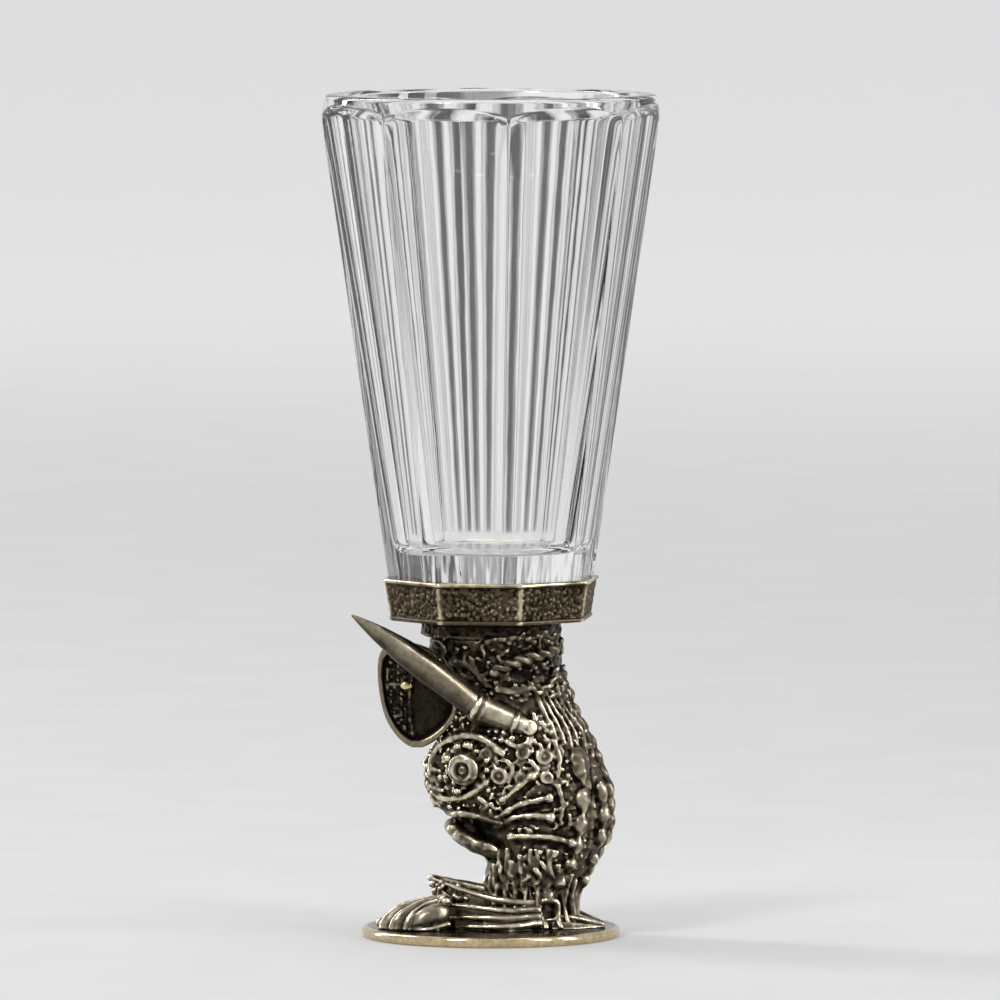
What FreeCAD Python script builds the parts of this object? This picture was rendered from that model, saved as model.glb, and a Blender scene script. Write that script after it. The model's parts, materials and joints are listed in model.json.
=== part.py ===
"""Faceted crystal shot glass held in an octagonal bronze collar on a cast sea-dragon stem and a round foot.

Millimetres, +Z up. The origin is the centre of the foot disc's underside, on the axis of the cup.
The stem's castings face -X. Every height is stacked from the foot disc upwards.
"""

import FreeCAD, Part
import math
import os

os.makedirs("parts", exist_ok=True)

V = FreeCAD.Vector
UP = V(0, 0, 1)

# Foot disc
PLATE_RADIUS = 19.9
PLATE_THICKNESS = 1.6
PLATE_BEAD = 0.55

# Foot spigot, screw and washer
SPIGOT_X = 6.0
SPIGOT_RADIUS = 4.8
SPIGOT_HEIGHT = 2.4
SPIGOT_CLEARANCE = 0.05
FOOT_SCREW_HEAD_RADIUS = 3.3
FOOT_SCREW_HEAD_HEIGHT = 1.8
FOOT_SCREW_RADIUS = 2.0
FOOT_SCREW_GRIP = 9.0
WASHER_RADIUS = 3.6
WASHER_THICKNESS = 0.5
SCREW_CLEARANCE = 0.05
HEX_SOCKET_FLATS = 2.5
HEX_SOCKET_DEPTH = 1.0

# Figure casting
FIGURE_HEIGHT = 44.9
FIGURE_LENGTH = 28.6
FIGURE_DEPTH = 20.4
MOUTH_HEIGHT = 15.4
MOUTH_GAPE = 2.6
JAW_X = -1.2
JAW_LENGTH = 10.2
JAW_THICKNESS = 4.4
JAW_WIDTH = 9.6
JAW_DROP = 0.6
EYE_X = -4.6
EYE_LEVEL = 24.9
EYE_RADIUS = 2.6
EYE_RING = 0.5
EYE_ROOT = 1.6
SCUTE_LENGTH = 5.2
SCUTE_WIDTH = 2.9
SCUTE_RISE = 0.75
SCUTE_ROOT = 0.8
SCUTE_KEEL = 0.45
SCUTES_UPPER = 7
SCUTES_LOWER = 4
WHISKER_RADIUS = 0.5
WHISKER_KNOB = 0.8

# Horn and its sleeve
SLEEVE_X = -2.6
SLEEVE_LEVEL = 34.9
SLEEVE_WAY = V(-0.915, -0.06, 0.395)
SLEEVE_STAND_OFF = 1.0
SLEEVE_LENGTH = 7.4
SLEEVE_RADIUS = 1.75
SLEEVE_LIP = 0.45
SLEEVE_KNOB_LENGTH = 1.8
SLEEVE_TAPER = 0.82
SLEEVE_RING = 0.85
HORN_RADIUS = 2.35
HORN_LENGTH = 23.6
HORN_WAY = V(-0.803, -0.05, 0.594)
TENON_RADIUS = 1.1
TENON_LENGTH = 2.4
TENON_CLEARANCE = 0.05

# Crest and rivet
CREST_X = -17.3
CREST_LEVEL = 27.5
CREST_CORNERS = 28
CREST_HEIGHT = 16.4
CREST_LENGTH = 12.0
CREST_THICKNESS = 2.4
CREST_RIM = 1.0
CREST_PANEL_DEPTH = 0.5
RIVET_X = -13.0
RIVET_LEVEL = 37.2
RIVET_RADIUS = 0.5
RIVET_HEAD = 0.75
RIVET_CLEARANCE = 0.03
RIVET_CROWN = 0.7

# Tail and shell castings on the disc
TAIL_LENGTH = 17.4
TAIL_RISE = 7.6
FIN_LENGTH = 8.4
FIN_RISE = 4.4
SHELL_LENGTH = 11.6
SHELL_WIDTH = 10.4
SHELL_RISE = 5.6
SHELL_RIBS = 6
SHELL_SPREAD = 62.0
SHELL_GROOVE = 0.13
SHELL_HINGE = 1.6
SHELL_X = -12.0
SHELL_Y = -5.2

# Collar
NECK_RADIUS = 10.6
NECK_HEIGHT = 2.6
BAND_HEIGHT = 6.5
BAND_BOTTOM_RADIUS = 16.0
BAND_TOP_RADIUS = 17.1
FLANGE_PROUD = 0.3
FLANGE_HEIGHT = 0.55
COLLAR_TURN = 16.0
POCKET_DEPTH = 2.0
BEDDING_FLOOR = 0.3
BEDDING_SIDE = 0.25
COLLAR_SCREW_HEAD_RADIUS = 3.8
COLLAR_SCREW_HEAD_HEIGHT = 2.2
COLLAR_SCREW_RADIUS = 2.0
COLLAR_SCREW_GRIP = 7.0

# Cup
SIDES = 8
CUP_TURN = 6.0
CUP_HEIGHT = 76.1
CUP_RIM_RADIUS = 25.4
CUP_GIRTH_RADIUS = 26.2
CUP_GIRTH_DROP = 4.6
CUP_SEAT_RADIUS = 15.9
CUP_FOOT_RADIUS = 14.3
CUP_CHAMFER = 1.5
FACET_RUNOUT_DROP = 3.4
FACET_RUNOUT_RISE = 2.2
FACET_RUNOUT_RADIUS = 2.6
CAVITY_RIM_RADIUS = 22.5
CAVITY_FLOOR_RADIUS = 11.4
CUP_FLOOR = 5.9
CAVITY_FILLET = 2.6
RIM_ROUND = 0.7

# Heights that follow from the sizes above
FOOT_TOP = PLATE_THICKNESS
NECK_SEAT = FOOT_TOP + FIGURE_HEIGHT
BAND_BOTTOM = NECK_SEAT + NECK_HEIGHT
BAND_TOP = BAND_BOTTOM + BAND_HEIGHT
POCKET_FLOOR = BAND_TOP - POCKET_DEPTH
CUP_BOTTOM = POCKET_FLOOR + BEDDING_FLOOR
CUP_TOP = CUP_BOTTOM + CUP_HEIGHT
POCKET_RADIUS = CUP_FOOT_RADIUS + BEDDING_SIDE
HALF_SIDE = math.pi / SIDES

# The figure's outline is drawn at these sizes and stretched to the driving ones
DRAWN_HEIGHT = 44.9
DRAWN_LENGTH = 28.6
DRAWN_DEPTH = 20.4
STRETCH_X = FIGURE_LENGTH / DRAWN_LENGTH
STRETCH_Y = FIGURE_DEPTH / DRAWN_DEPTH
STRETCH_Z = FIGURE_HEIGHT / DRAWN_HEIGHT

# Girths of the figure from foot to neck: height over the foot plate, centre, half length, half depth, and
# how far the girth narrows towards the face
GIRTHS = [
    (0.0, 6.0, 6.6, 6.0, 0.0),
    (5.4, 6.2, 7.0, 6.1, 0.05),
    (9.4, 7.2, 8.2, 7.2, 0.1),
    (13.0, 8.0, 9.4, 8.4, 0.2),
    (15.4, 6.4, 11.7, 9.3, 0.42),
    (18.2, 4.9, 13.4, 9.9, 0.46),
    (21.6, 4.1, 13.7, 10.2, 0.42),
    (25.2, 3.3, 13.3, 10.1, 0.36),
    (28.0, 3.6, 11.8, 9.4, 0.28),
    (30.6, 4.0, 10.2, 8.5, 0.18),
    (34.0, 3.8, 8.8, 7.9, 0.1),
    (38.0, 2.3, 9.1, 8.2, 0.05),
    (41.8, 1.2, 9.5, 8.9, 0.0),
    (44.9, 0.7, 10.0, 9.6, 0.0),
]
GIRTH_CORNERS = 24

# Corners of the small rods and rings, and of the horn
ROD_CORNERS = 8
RING_CORNERS = 16
HORN_CORNERS = 24

# Shares of the horn's length, each with its share of the greatest radius
HORN_SWELL = [
    (-0.12, 0.84), (0.0, 0.87), (0.16, 0.96), (0.36, 1.0),
    (0.58, 0.84), (0.78, 0.53), (0.92, 0.25), (1.0, 0.06),
]

# The mouth's corner, how far the wedge that opens it reaches, and how its gape is shared up and down
MOUTH_CORNER_X = 0.6
MOUTH_WEDGE = 14.0
GAPE_UP = 0.9
GAPE_DOWN = 0.1


def figure_point(x, y, height):
    """A point of the figure, stretched from the drawn sizes to the driving ones."""
    return V(x * STRETCH_X, y * STRETCH_Y, FOOT_TOP + height * STRETCH_Z)


def girth_at(height):
    """Centre, half length, half depth and face taper of the figure at a height, as drawn."""
    for low, high in zip(GIRTHS, GIRTHS[1:]):
        if height <= high[0]:
            share = (height - low[0]) / (high[0] - low[0])
            return [a + share * (b - a) for a, b in zip(low[1:], high[1:])]
    return list(GIRTHS[-1][1:])


def skin_point(angle, height, side=1):
    """The point on the figure's skin at an angle from +X, on side -1 (near) or +1 (far)."""
    centre, half_length, half_depth, taper = girth_at(height)
    turn = math.radians(angle)
    narrowing = 1.0 - taper * (1.0 - math.cos(turn)) / 2
    return figure_point(
        centre + half_length * math.cos(turn), side * half_depth * narrowing * math.sin(turn), height)


def skin_normal(angle, height, side):
    """The skin's outward direction at the same place, level with the ground."""
    along = skin_point(angle + 2.0, height, side) - skin_point(angle - 2.0, height, side)
    return V(along.y, -along.x, 0).normalize() * side


def skin_angle(x, height):
    """The angle from +X of the skin point that lies at x at a height."""
    centre, half_length, _, _ = girth_at(height)
    return math.degrees(math.acos(max(-1.0, min(1.0, (x - centre) / half_length))))


def oval_wire(centre, half_x, half_y):
    """A level oval of straight sides."""
    corners = []
    for k in range(GIRTH_CORNERS + 1):
        turn = 2 * math.pi * k / GIRTH_CORNERS
        corners.append(centre + V(half_x * math.cos(turn), half_y * math.sin(turn), 0))
    return Part.makePolygon(corners)


def polygon_wire(radius, z, turn):
    """A level regular polygon on the axis, with a corner turned from -Y towards +X."""
    corners = []
    for k in range(SIDES + 1):
        angle = math.radians(turn - 90.0) + 2 * HALF_SIDE * k
        corners.append(V(radius * math.cos(angle), radius * math.sin(angle), z))
    return Part.makePolygon(corners)


def revolve_profile(points):
    """A solid of revolution about the axis from a closed outline in the XZ plane."""
    outline = Part.makePolygon([V(r, 0, z) for r, z in points + points[:1]])
    return Part.Face(outline).revolve(V(0, 0, 0), UP, 360)


def keeled_scale(centre, normal, along, length, width, rise):
    """A six-sided scale on the skin that narrows to a keel: two hexagons joined by flat flanks."""
    across = normal.cross(along).normalize()
    along = across.cross(normal).normalize()
    wires = []
    for lift, share in ((-SCUTE_ROOT, 1.0), (rise, SCUTE_KEEL)):
        corners = []
        for k in range(7):
            turn = math.radians(60 * k)
            offset = along * (length / 2 * math.cos(turn)) + across * (width / 2 * math.sin(turn))
            corners.append(centre + normal * lift + offset * share)
        wires.append(Part.makePolygon(corners))
    return Part.makeLoft(wires, True, True)


def facet_loft(start, along, stations, corners):
    """Regular polygons about a line, joined by flat facets: each station is a length and a radius."""
    wires = []
    for length, radius in stations:
        points = []
        for k in range(corners + 1):
            turn = 2 * math.pi * k / corners
            points.append(V(radius * math.cos(turn), radius * math.sin(turn), length))
        wires.append(Part.makePolygon(points))
    solid = Part.makeLoft(wires, True, True)
    solid.Placement = FreeCAD.Placement(start, FreeCAD.Rotation(UP, along))
    return solid


def rod(start, end, radius):
    """A straight rod between two points."""
    return facet_loft(start, end - start, [(0.0, radius), ((end - start).Length, radius)], ROD_CORNERS)


def make_cup():
    """Round conical blank, eight flat panels that run out in a cove below the rim, and a round cavity."""
    girth = CUP_TOP - CUP_GIRTH_DROP
    seat = CUP_BOTTOM + POCKET_DEPTH - BEDDING_FLOOR
    chamfer_top = seat + CUP_CHAMFER
    slope = (CUP_GIRTH_RADIUS - CUP_SEAT_RADIUS) / (girth - seat)
    outline = [
        (0, CUP_BOTTOM),
        (CUP_FOOT_RADIUS, CUP_BOTTOM),
        (CUP_FOOT_RADIUS, seat),
        (CUP_SEAT_RADIUS + slope * CUP_CHAMFER, chamfer_top),
        (CUP_GIRTH_RADIUS, girth),
        (CUP_RIM_RADIUS, CUP_TOP),
        (0, CUP_TOP),
    ]
    blank = revolve_profile(outline)
    reach = CUP_GIRTH_RADIUS * math.cos(HALF_SIDE)
    low_reach = (CUP_SEAT_RADIUS + slope * (CUP_BOTTOM - seat)) * math.cos(HALF_SIDE)
    panel_end = CUP_TOP - FACET_RUNOUT_DROP
    panel_slope = slope * math.cos(HALF_SIDE)
    start = V(reach + panel_slope * (panel_end - girth), 0, panel_end)
    far = CUP_GIRTH_RADIUS * 1.5
    stop = V(start.x + FACET_RUNOUT_RADIUS, 0, panel_end + FACET_RUNOUT_RISE)
    middle = V(start.x + FACET_RUNOUT_RADIUS * 0.22, 0, panel_end + FACET_RUNOUT_RISE * 0.62)
    edges = [
        Part.LineSegment(V(low_reach, 0, CUP_BOTTOM), start).toShape(),
        Part.Arc(start, middle, stop).toShape(),
        Part.LineSegment(stop, V(far, 0, stop.z)).toShape(),
        Part.LineSegment(V(far, 0, stop.z), V(far, 0, CUP_BOTTOM)).toShape(),
        Part.LineSegment(V(far, 0, CUP_BOTTOM), V(low_reach, 0, CUP_BOTTOM)).toShape(),
    ]
    panel = Part.Face(Part.Wire(edges))
    panel.translate(V(0, -far, 0))
    cutter = panel.extrude(V(0, 2 * far, 0))
    keep_foot = Part.makeCylinder(far * 2, seat - CUP_BOTTOM, V(0, 0, CUP_BOTTOM))
    cutter = cutter.cut(keep_foot)
    cutters = []
    for k in range(SIDES):
        tool = cutter.copy()
        tool.rotate(V(0, 0, 0), UP, CUP_TURN - 90.0 + (k + 0.5) * 360.0 / SIDES)
        cutters.append(tool)
    return blank.cut(cutters).cut(make_cavity())


def make_cavity():
    """The drinking hollow: a cone with a rounded bottom corner and an eased rim."""
    floor = CUP_BOTTOM + CUP_FLOOR
    height = CUP_TOP - floor
    cone = Part.makeCone(CAVITY_FLOOR_RADIUS, CAVITY_RIM_RADIUS, height, V(0, 0, floor))
    bottom = [e for e in cone.Edges if e.BoundBox.ZMax < floor + 0.1 and len(e.Vertexes) == 1]
    cone = cone.makeFillet(CAVITY_FILLET, bottom)
    ease_start = V(0, 0, CUP_TOP - RIM_ROUND)
    ease = Part.makeCone(CAVITY_RIM_RADIUS, CAVITY_RIM_RADIUS + RIM_ROUND, RIM_ROUND, ease_start)
    return cone.fuse(ease)


def make_bedding():
    """The adhesive bed between the cup's foot and the collar's pocket."""
    outer = Part.makeCylinder(POCKET_RADIUS, POCKET_DEPTH, V(0, 0, POCKET_FLOOR))
    foot = Part.makeCylinder(CUP_FOOT_RADIUS, POCKET_DEPTH, V(0, 0, CUP_BOTTOM))
    return outer.cut(foot)


def make_collar():
    """Octagonal band with a proud edge at top and bottom, on a round neck, with a pocket for the cup."""
    band_foot = polygon_wire(BAND_BOTTOM_RADIUS, BAND_BOTTOM, COLLAR_TURN)
    band_head = polygon_wire(BAND_TOP_RADIUS, BAND_TOP, COLLAR_TURN)
    band = Part.makeLoft([band_foot, band_head], True, True)
    rise = (BAND_TOP_RADIUS - BAND_BOTTOM_RADIUS) / BAND_HEIGHT
    pieces = []
    for low in (BAND_BOTTOM, BAND_TOP - FLANGE_HEIGHT):
        radius = BAND_BOTTOM_RADIUS + rise * (low - BAND_BOTTOM) + FLANGE_PROUD
        foot = polygon_wire(radius, low, COLLAR_TURN)
        head = polygon_wire(radius + rise * FLANGE_HEIGHT, low + FLANGE_HEIGHT, COLLAR_TURN)
        pieces.append(Part.makeLoft([foot, head], True, True))
    neck_top = BAND_BOTTOM_RADIUS * math.cos(HALF_SIDE)
    neck = Part.makeCone(NECK_RADIUS, neck_top, NECK_HEIGHT, V(0, 0, NECK_SEAT))
    body = band.fuse(pieces + [neck]).removeSplitter()
    pocket = Part.makeCylinder(POCKET_RADIUS, POCKET_DEPTH, V(0, 0, POCKET_FLOOR))
    seat = V(0, 0, NECK_SEAT)
    bore = Part.makeCylinder(COLLAR_SCREW_RADIUS + SCREW_CLEARANCE, BAND_TOP - NECK_SEAT, seat)
    sink_radius = COLLAR_SCREW_HEAD_RADIUS + SCREW_CLEARANCE
    sink_floor = V(0, 0, POCKET_FLOOR - COLLAR_SCREW_HEAD_HEIGHT)
    sink = Part.makeCylinder(sink_radius, COLLAR_SCREW_HEAD_HEIGHT, sink_floor)
    return body.cut([pocket, bore, sink])


def hex_socket(centre, direction):
    """A hexagon key socket, sunk from a screw head's face."""
    radius = HEX_SOCKET_FLATS / math.sqrt(3)
    turn = [math.radians(60 * k) for k in range(7)]
    outline = Part.makePolygon([centre + V(radius * math.cos(a), radius * math.sin(a), 0) for a in turn])
    return Part.Face(outline).extrude(direction * HEX_SOCKET_DEPTH)


def make_collar_screw():
    """Flat-headed screw that ties the collar down on the figure's neck."""
    head_floor = V(0, 0, POCKET_FLOOR - COLLAR_SCREW_HEAD_HEIGHT)
    head = Part.makeCylinder(COLLAR_SCREW_HEAD_RADIUS, COLLAR_SCREW_HEAD_HEIGHT, head_floor)
    length = POCKET_FLOOR - NECK_SEAT + COLLAR_SCREW_GRIP
    shank = Part.makeCylinder(COLLAR_SCREW_RADIUS, length, V(0, 0, NECK_SEAT - COLLAR_SCREW_GRIP))
    return head.fuse(shank).removeSplitter().cut(hex_socket(V(0, 0, POCKET_FLOOR), -UP))


def collar_thread():
    """The threaded hole in the figure's neck for the collar's screw."""
    low = V(0, 0, NECK_SEAT - COLLAR_SCREW_GRIP)
    return Part.makeCylinder(COLLAR_SCREW_RADIUS + SCREW_CLEARANCE, COLLAR_SCREW_GRIP + 1, low)


def make_torso():
    """The figure's main form: level girths of many corners from foot to neck, joined by flat facets."""
    wires = []
    for row in GIRTHS:
        corners = [skin_point(360.0 * k / GIRTH_CORNERS, row[0]) for k in range(GIRTH_CORNERS)]
        wires.append(Part.makePolygon(corners + corners[:1]))
    return Part.makeLoft(wires, True, True)


def make_jaw():
    """The lower jaw: level ovals that grow and lean forwards as they rise to the lip."""
    wires = []
    for rise, share, lean in ((0.0, 0.48, 0.0), (0.35, 0.84, 0.5), (0.7, 1.0, 0.9), (1.0, 0.9, 1.2)):
        drop = JAW_THICKNESS * (rise - 1.0) - JAW_DROP
        centre = figure_point(JAW_X - lean, 0, MOUTH_HEIGHT) + UP * drop
        wires.append(oval_wire(centre, JAW_LENGTH / 2 * share, JAW_WIDTH / 2 * share))
    return Part.makeLoft(wires, True, True)


def make_mouth():
    """The wedge that opens the mouth, from the corner outwards."""
    corner = figure_point(MOUTH_CORNER_X, 0, MOUTH_HEIGHT)
    top = corner + V(-MOUTH_WEDGE, 0, MOUTH_GAPE * GAPE_UP)
    bottom = corner + V(-MOUTH_WEDGE, 0, -MOUTH_GAPE * GAPE_DOWN)
    wedge = Part.Face(Part.makePolygon([corner, top, bottom, corner]))
    wedge.translate(V(0, -FIGURE_DEPTH, 0))
    return wedge.extrude(V(0, 2 * FIGURE_DEPTH, 0))


def make_eye(side):
    """A raised ring round a low pupil."""
    angle = skin_angle(EYE_X, EYE_LEVEL)
    normal = skin_normal(angle, EYE_LEVEL, side)
    root = skin_point(angle, EYE_LEVEL, side) - normal * EYE_ROOT
    rise = EYE_ROOT + EYE_RING
    ring = facet_loft(root, normal, [(0.0, EYE_RADIUS), (rise, EYE_RADIUS)], RING_CORNERS)
    inner = EYE_RADIUS - 2 * EYE_RING
    hollow = facet_loft(root, normal, [(0.0, inner), (rise, inner)], RING_CORNERS)
    ball = [(0.0, EYE_RADIUS * 0.5), (EYE_ROOT + EYE_RING * 1.5, EYE_RADIUS * 0.3)]
    pupil = facet_loft(root, normal, ball, RING_CORNERS)
    return [ring.cut(hollow), pupil]


def make_scutes(side):
    """Two rows of scales down the back: the upper row shrinks towards the tail."""
    scales = []
    for k in range(SCUTES_UPPER):
        share = k / (SCUTES_UPPER - 1)
        height = 25.3 - 20.6 * share ** 0.9
        size = 1.0 - 0.55 * share
        angle = 37.0 + 29.0 * share
        scales.append(keeled_scale(
            skin_point(angle, height, side), skin_normal(angle, height, side), UP,
            SCUTE_LENGTH * size, SCUTE_WIDTH * size, SCUTE_RISE))
    for k in range(SCUTES_LOWER):
        height = 17.2 - 3.3 * k
        scales.append(keeled_scale(
            skin_point(21.0, height, side), skin_normal(21.0, height, side), UP,
            SCUTE_LENGTH * 0.58, SCUTE_WIDTH * 0.75, SCUTE_RISE))
    return scales


def make_whiskers(side):
    """Three feelers behind the mouth corner, each ending in a knob."""
    ends = [((2.3, 20.1), (6.1, 23.5)), ((1.5, 16.9), (8.7, 20.1)), ((2.6, 14.9), (8.9, 15.6))]
    solids = []
    for (x0, h0), (x1, h1) in ends:
        angle = skin_angle(x0, h0)
        start = skin_point(angle, h0, side) - skin_normal(angle, h0, side) * WHISKER_RADIUS * 0.9
        angle = skin_angle(x1, h1)
        end = skin_point(angle, h1, side) + skin_normal(angle, h1, side) * WHISKER_RADIUS * 0.5
        along = (end - start).normalize()
        knob = rod(end - along * WHISKER_KNOB, end + along * WHISKER_KNOB, WHISKER_KNOB)
        solids.append(rod(start, end, WHISKER_RADIUS).fuse(knob))
    return solids


def sleeve_axis():
    """Mouth centre of the horn's sleeve and the direction out of it."""
    mouth = skin_point(90.0, SLEEVE_LEVEL, -1) - V(0, SLEEVE_STAND_OFF, 0)
    mouth.x = figure_point(SLEEVE_X, 0, 0).x
    return mouth, V(SLEEVE_WAY).normalize()


def make_sleeve():
    """The tapered sleeve cast on the near side of the head, with a lip, a middle ring and a knob."""
    mouth, outward = sleeve_axis()
    back = mouth - outward * SLEEVE_LENGTH
    narrow = SLEEVE_RADIUS * SLEEVE_TAPER
    ring = narrow + SLEEVE_LIP * 0.6
    lip = SLEEVE_RADIUS + SLEEVE_LIP
    lip_start = SLEEVE_LENGTH - SLEEVE_RING
    stations = [
        (-SLEEVE_KNOB_LENGTH, SLEEVE_RADIUS * 0.5), (-0.1, narrow),
        (0.6, narrow), (0.7, ring), (0.6 + SLEEVE_RING, ring), (0.7 + SLEEVE_RING, narrow),
        (lip_start - 0.1, SLEEVE_RADIUS), (lip_start, lip), (SLEEVE_LENGTH, lip)]
    return facet_loft(back, outward, stations, RING_CORNERS)


def tenon(clearance):
    mouth, outward = sleeve_axis()
    return Part.makeCylinder(
        TENON_RADIUS + clearance, TENON_LENGTH, mouth - outward * TENON_LENGTH, outward)


def make_horn():
    """A smooth spindle, trimmed square to the sleeve's mouth, with a tenon in the sleeve."""
    mouth, outward = sleeve_axis()
    rise = V(HORN_WAY).normalize()
    stations = [(share * HORN_LENGTH, swell * HORN_RADIUS) for share, swell in HORN_SWELL]
    spindle = facet_loft(mouth, rise, stations, HORN_CORNERS)
    trim = Part.makeCylinder(HORN_LENGTH, HORN_LENGTH, mouth - outward * HORN_LENGTH, outward)
    return spindle.cut(trim).fuse(tenon(0.0))


def crest_outline(inset):
    """The leaf outline of the crest in the XZ plane, as one closed smooth curve."""
    left = figure_point(CREST_X, 0, 0).x + inset
    right = left + CREST_LENGTH - 2 * inset
    low = figure_point(0, 0, CREST_LEVEL).z + inset
    high = low + CREST_HEIGHT - 2 * inset
    points = [
        V(left + 0.35 * (right - left), 0, high), V(left, 0, low + 0.86 * (high - low)),
        V(left + 0.09 * (right - left), 0, low + 0.28 * (high - low)),
        V(left + 0.5 * (right - left), 0, low),
        V(right, 0, low + 0.3 * (high - low)), V(right - 0.1 * (right - left), 0, low + 0.8 * (high - low))]
    curve = Part.BSplineCurve()
    curve.interpolate(Points=points, PeriodicFlag=True)
    corners = [curve.value(curve.LastParameter * k / CREST_CORNERS) for k in range(CREST_CORNERS)]
    return Part.makePolygon(corners + corners[:1])


def make_crest():
    """A leaf-shaped crest plate in the middle plane, with a raised rim round a sunk panel on each face."""
    half = CREST_THICKNESS / 2
    plate = Part.Face(crest_outline(0.0)).extrude(V(0, CREST_THICKNESS, 0))
    plate.translate(V(0, -half, 0))
    panel = Part.Face(crest_outline(CREST_RIM)).extrude(V(0, CREST_PANEL_DEPTH, 0))
    near = panel.copy()
    near.translate(V(0, -half, 0))
    far = panel.copy()
    far.translate(V(0, half - CREST_PANEL_DEPTH, 0))
    return plate.cut([near, far, rivet_shank(RIVET_CLEARANCE)])


def rivet_place():
    return figure_point(RIVET_X, 0, RIVET_LEVEL)


def rivet_shank(clearance):
    start = rivet_place() + V(0, -CREST_THICKNESS / 2, 0)
    return Part.makeCylinder(RIVET_RADIUS + clearance, CREST_THICKNESS, start, V(0, 1, 0))


def make_rivet():
    """A rivet through the crest, with a low coned head on each face."""
    depth = CREST_THICKNESS / 2 - CREST_PANEL_DEPTH
    centre = rivet_place()
    rise = depth + RIVET_HEAD * RIVET_CROWN
    crown = RIVET_HEAD * 0.5
    stations = [
        (-rise, crown), (-depth - 0.01, RIVET_HEAD), (-depth, RIVET_RADIUS),
        (depth, RIVET_RADIUS), (depth + 0.01, RIVET_HEAD), (rise, crown)]
    return facet_loft(centre, V(0, 1, 0), stations, RING_CORNERS)


def fold_section(x, height, half_depth, shift):
    """A fold of the fin seen end on: flat on the plate, with a crown and lower pleats on each side."""
    half = [(1.0, 0.0), (0.86, 0.3), (0.66, 0.34), (0.5, 0.62), (0.34, 0.6)]
    pleats = [(-across, rise) for across, rise in half] + [(0.0, 1.0)] + half[::-1]
    corners = [V(x, shift + half_depth * across, FOOT_TOP + height * rise) for across, rise in pleats]
    return Part.makePolygon(corners + corners[:1])


def make_fold(start, length, rise, stations):
    """A pleated fin along X: each station gives a share of the length, a rise, a half depth and a shift."""
    wires = [fold_section(start + length * share, rise * lift, half_depth, shift)
             for share, lift, half_depth, shift in stations]
    return Part.makeLoft(wires, True, True)


def make_tail():
    """The broad tail fluke: a folded ridge that climbs from the foot to a spike at the front."""
    start = figure_point(7.6, 0, 0).x
    return make_fold(start, -TAIL_LENGTH, TAIL_RISE, [
        (0.0, 0.66, 8.4, -1.0), (0.25, 0.66, 9.4, -1.5), (0.5, 0.74, 9.0, -1.0),
        (0.75, 0.86, 6.4, 0.2), (0.92, 0.97, 3.4, 1.0), (1.0, 1.0, 1.5, 1.4)])


def make_fin():
    """The short fin on the other side of the foot, falling to the plate's edge."""
    start = figure_point(9.4, 0, 0).x
    return make_fold(start, FIN_LENGTH, FIN_RISE, [
        (0.0, 1.0, 6.4, 0.0), (0.4, 0.85, 5.8, -0.6), (0.8, 0.5, 3.2, -1.4), (1.0, 0.24, 1.1, -1.8)])


def shell_outline(share, height):
    """The shell's outline at one level: a fan of ribs and grooves about its hinge, shrunk by `share`."""
    hinge = V(SHELL_X + SHELL_LENGTH / 2, SHELL_Y, height)
    corners = []
    for k in range(2 * SHELL_RIBS + 1):
        fan = math.radians(SHELL_SPREAD) * (k / SHELL_RIBS - 1.0)
        reach = 1.0 if k % 2 else 1.0 - SHELL_GROOVE
        x = -SHELL_LENGTH * share * reach * math.cos(fan)
        y = SHELL_WIDTH / 2 * share * reach * math.sin(fan) / math.sin(math.radians(SHELL_SPREAD))
        corners.append(hinge + V(x, y, 0))
    corners += [hinge + V(0, SHELL_HINGE * share, 0), hinge + V(0, -SHELL_HINGE * share, 0)]
    return Part.makePolygon(corners + corners[:1])


def make_shell():
    """A ribbed fan shell: scalloped outlines that shrink towards the hinge as they rise."""
    levels = [(1.0, 0.0), (0.94, 0.42), (0.76, 0.74), (0.5, 0.94), (0.24, 1.0)]
    wires = [shell_outline(share, FOOT_TOP + SHELL_RISE * rise) for share, rise in levels]
    return Part.makeLoft(wires, True, True)


def foot_socket(clearance):
    return Part.makeCylinder(SPIGOT_RADIUS + clearance, SPIGOT_HEIGHT, V(SPIGOT_X, 0, FOOT_TOP))


def make_disc():
    """The foot disc with an eased rim and a locating spigot with a screw counterbore."""
    disc = revolve_profile([
        (0, 0), (PLATE_RADIUS - PLATE_BEAD, 0), (PLATE_RADIUS, PLATE_BEAD),
        (PLATE_RADIUS, PLATE_THICKNESS - PLATE_BEAD), (PLATE_RADIUS - PLATE_BEAD, PLATE_THICKNESS),
        (0, PLATE_THICKNESS)])
    spigot = foot_socket(0.0)
    head_room = FOOT_SCREW_HEAD_HEIGHT + WASHER_THICKNESS
    middle = V(SPIGOT_X, 0, 0)
    counterbore = Part.makeCylinder(WASHER_RADIUS + SCREW_CLEARANCE, head_room, middle)
    bore_depth = PLATE_THICKNESS + SPIGOT_HEIGHT
    bore = Part.makeCylinder(FOOT_SCREW_RADIUS + SCREW_CLEARANCE, bore_depth, middle)
    return disc.fuse(spigot).removeSplitter().cut([counterbore, bore])


def make_washer():
    low = V(SPIGOT_X, 0, FOOT_SCREW_HEAD_HEIGHT)
    ring = Part.makeCylinder(WASHER_RADIUS, WASHER_THICKNESS, low)
    return ring.cut(Part.makeCylinder(FOOT_SCREW_RADIUS + SCREW_CLEARANCE, WASHER_THICKNESS, low))


def foot_thread(clearance):
    low = V(SPIGOT_X, 0, FOOT_SCREW_HEAD_HEIGHT)
    spigot_top = PLATE_THICKNESS + SPIGOT_HEIGHT
    length = spigot_top - FOOT_SCREW_HEAD_HEIGHT + WASHER_THICKNESS + FOOT_SCREW_GRIP
    return Part.makeCylinder(FOOT_SCREW_RADIUS + clearance, length, low)


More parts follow.
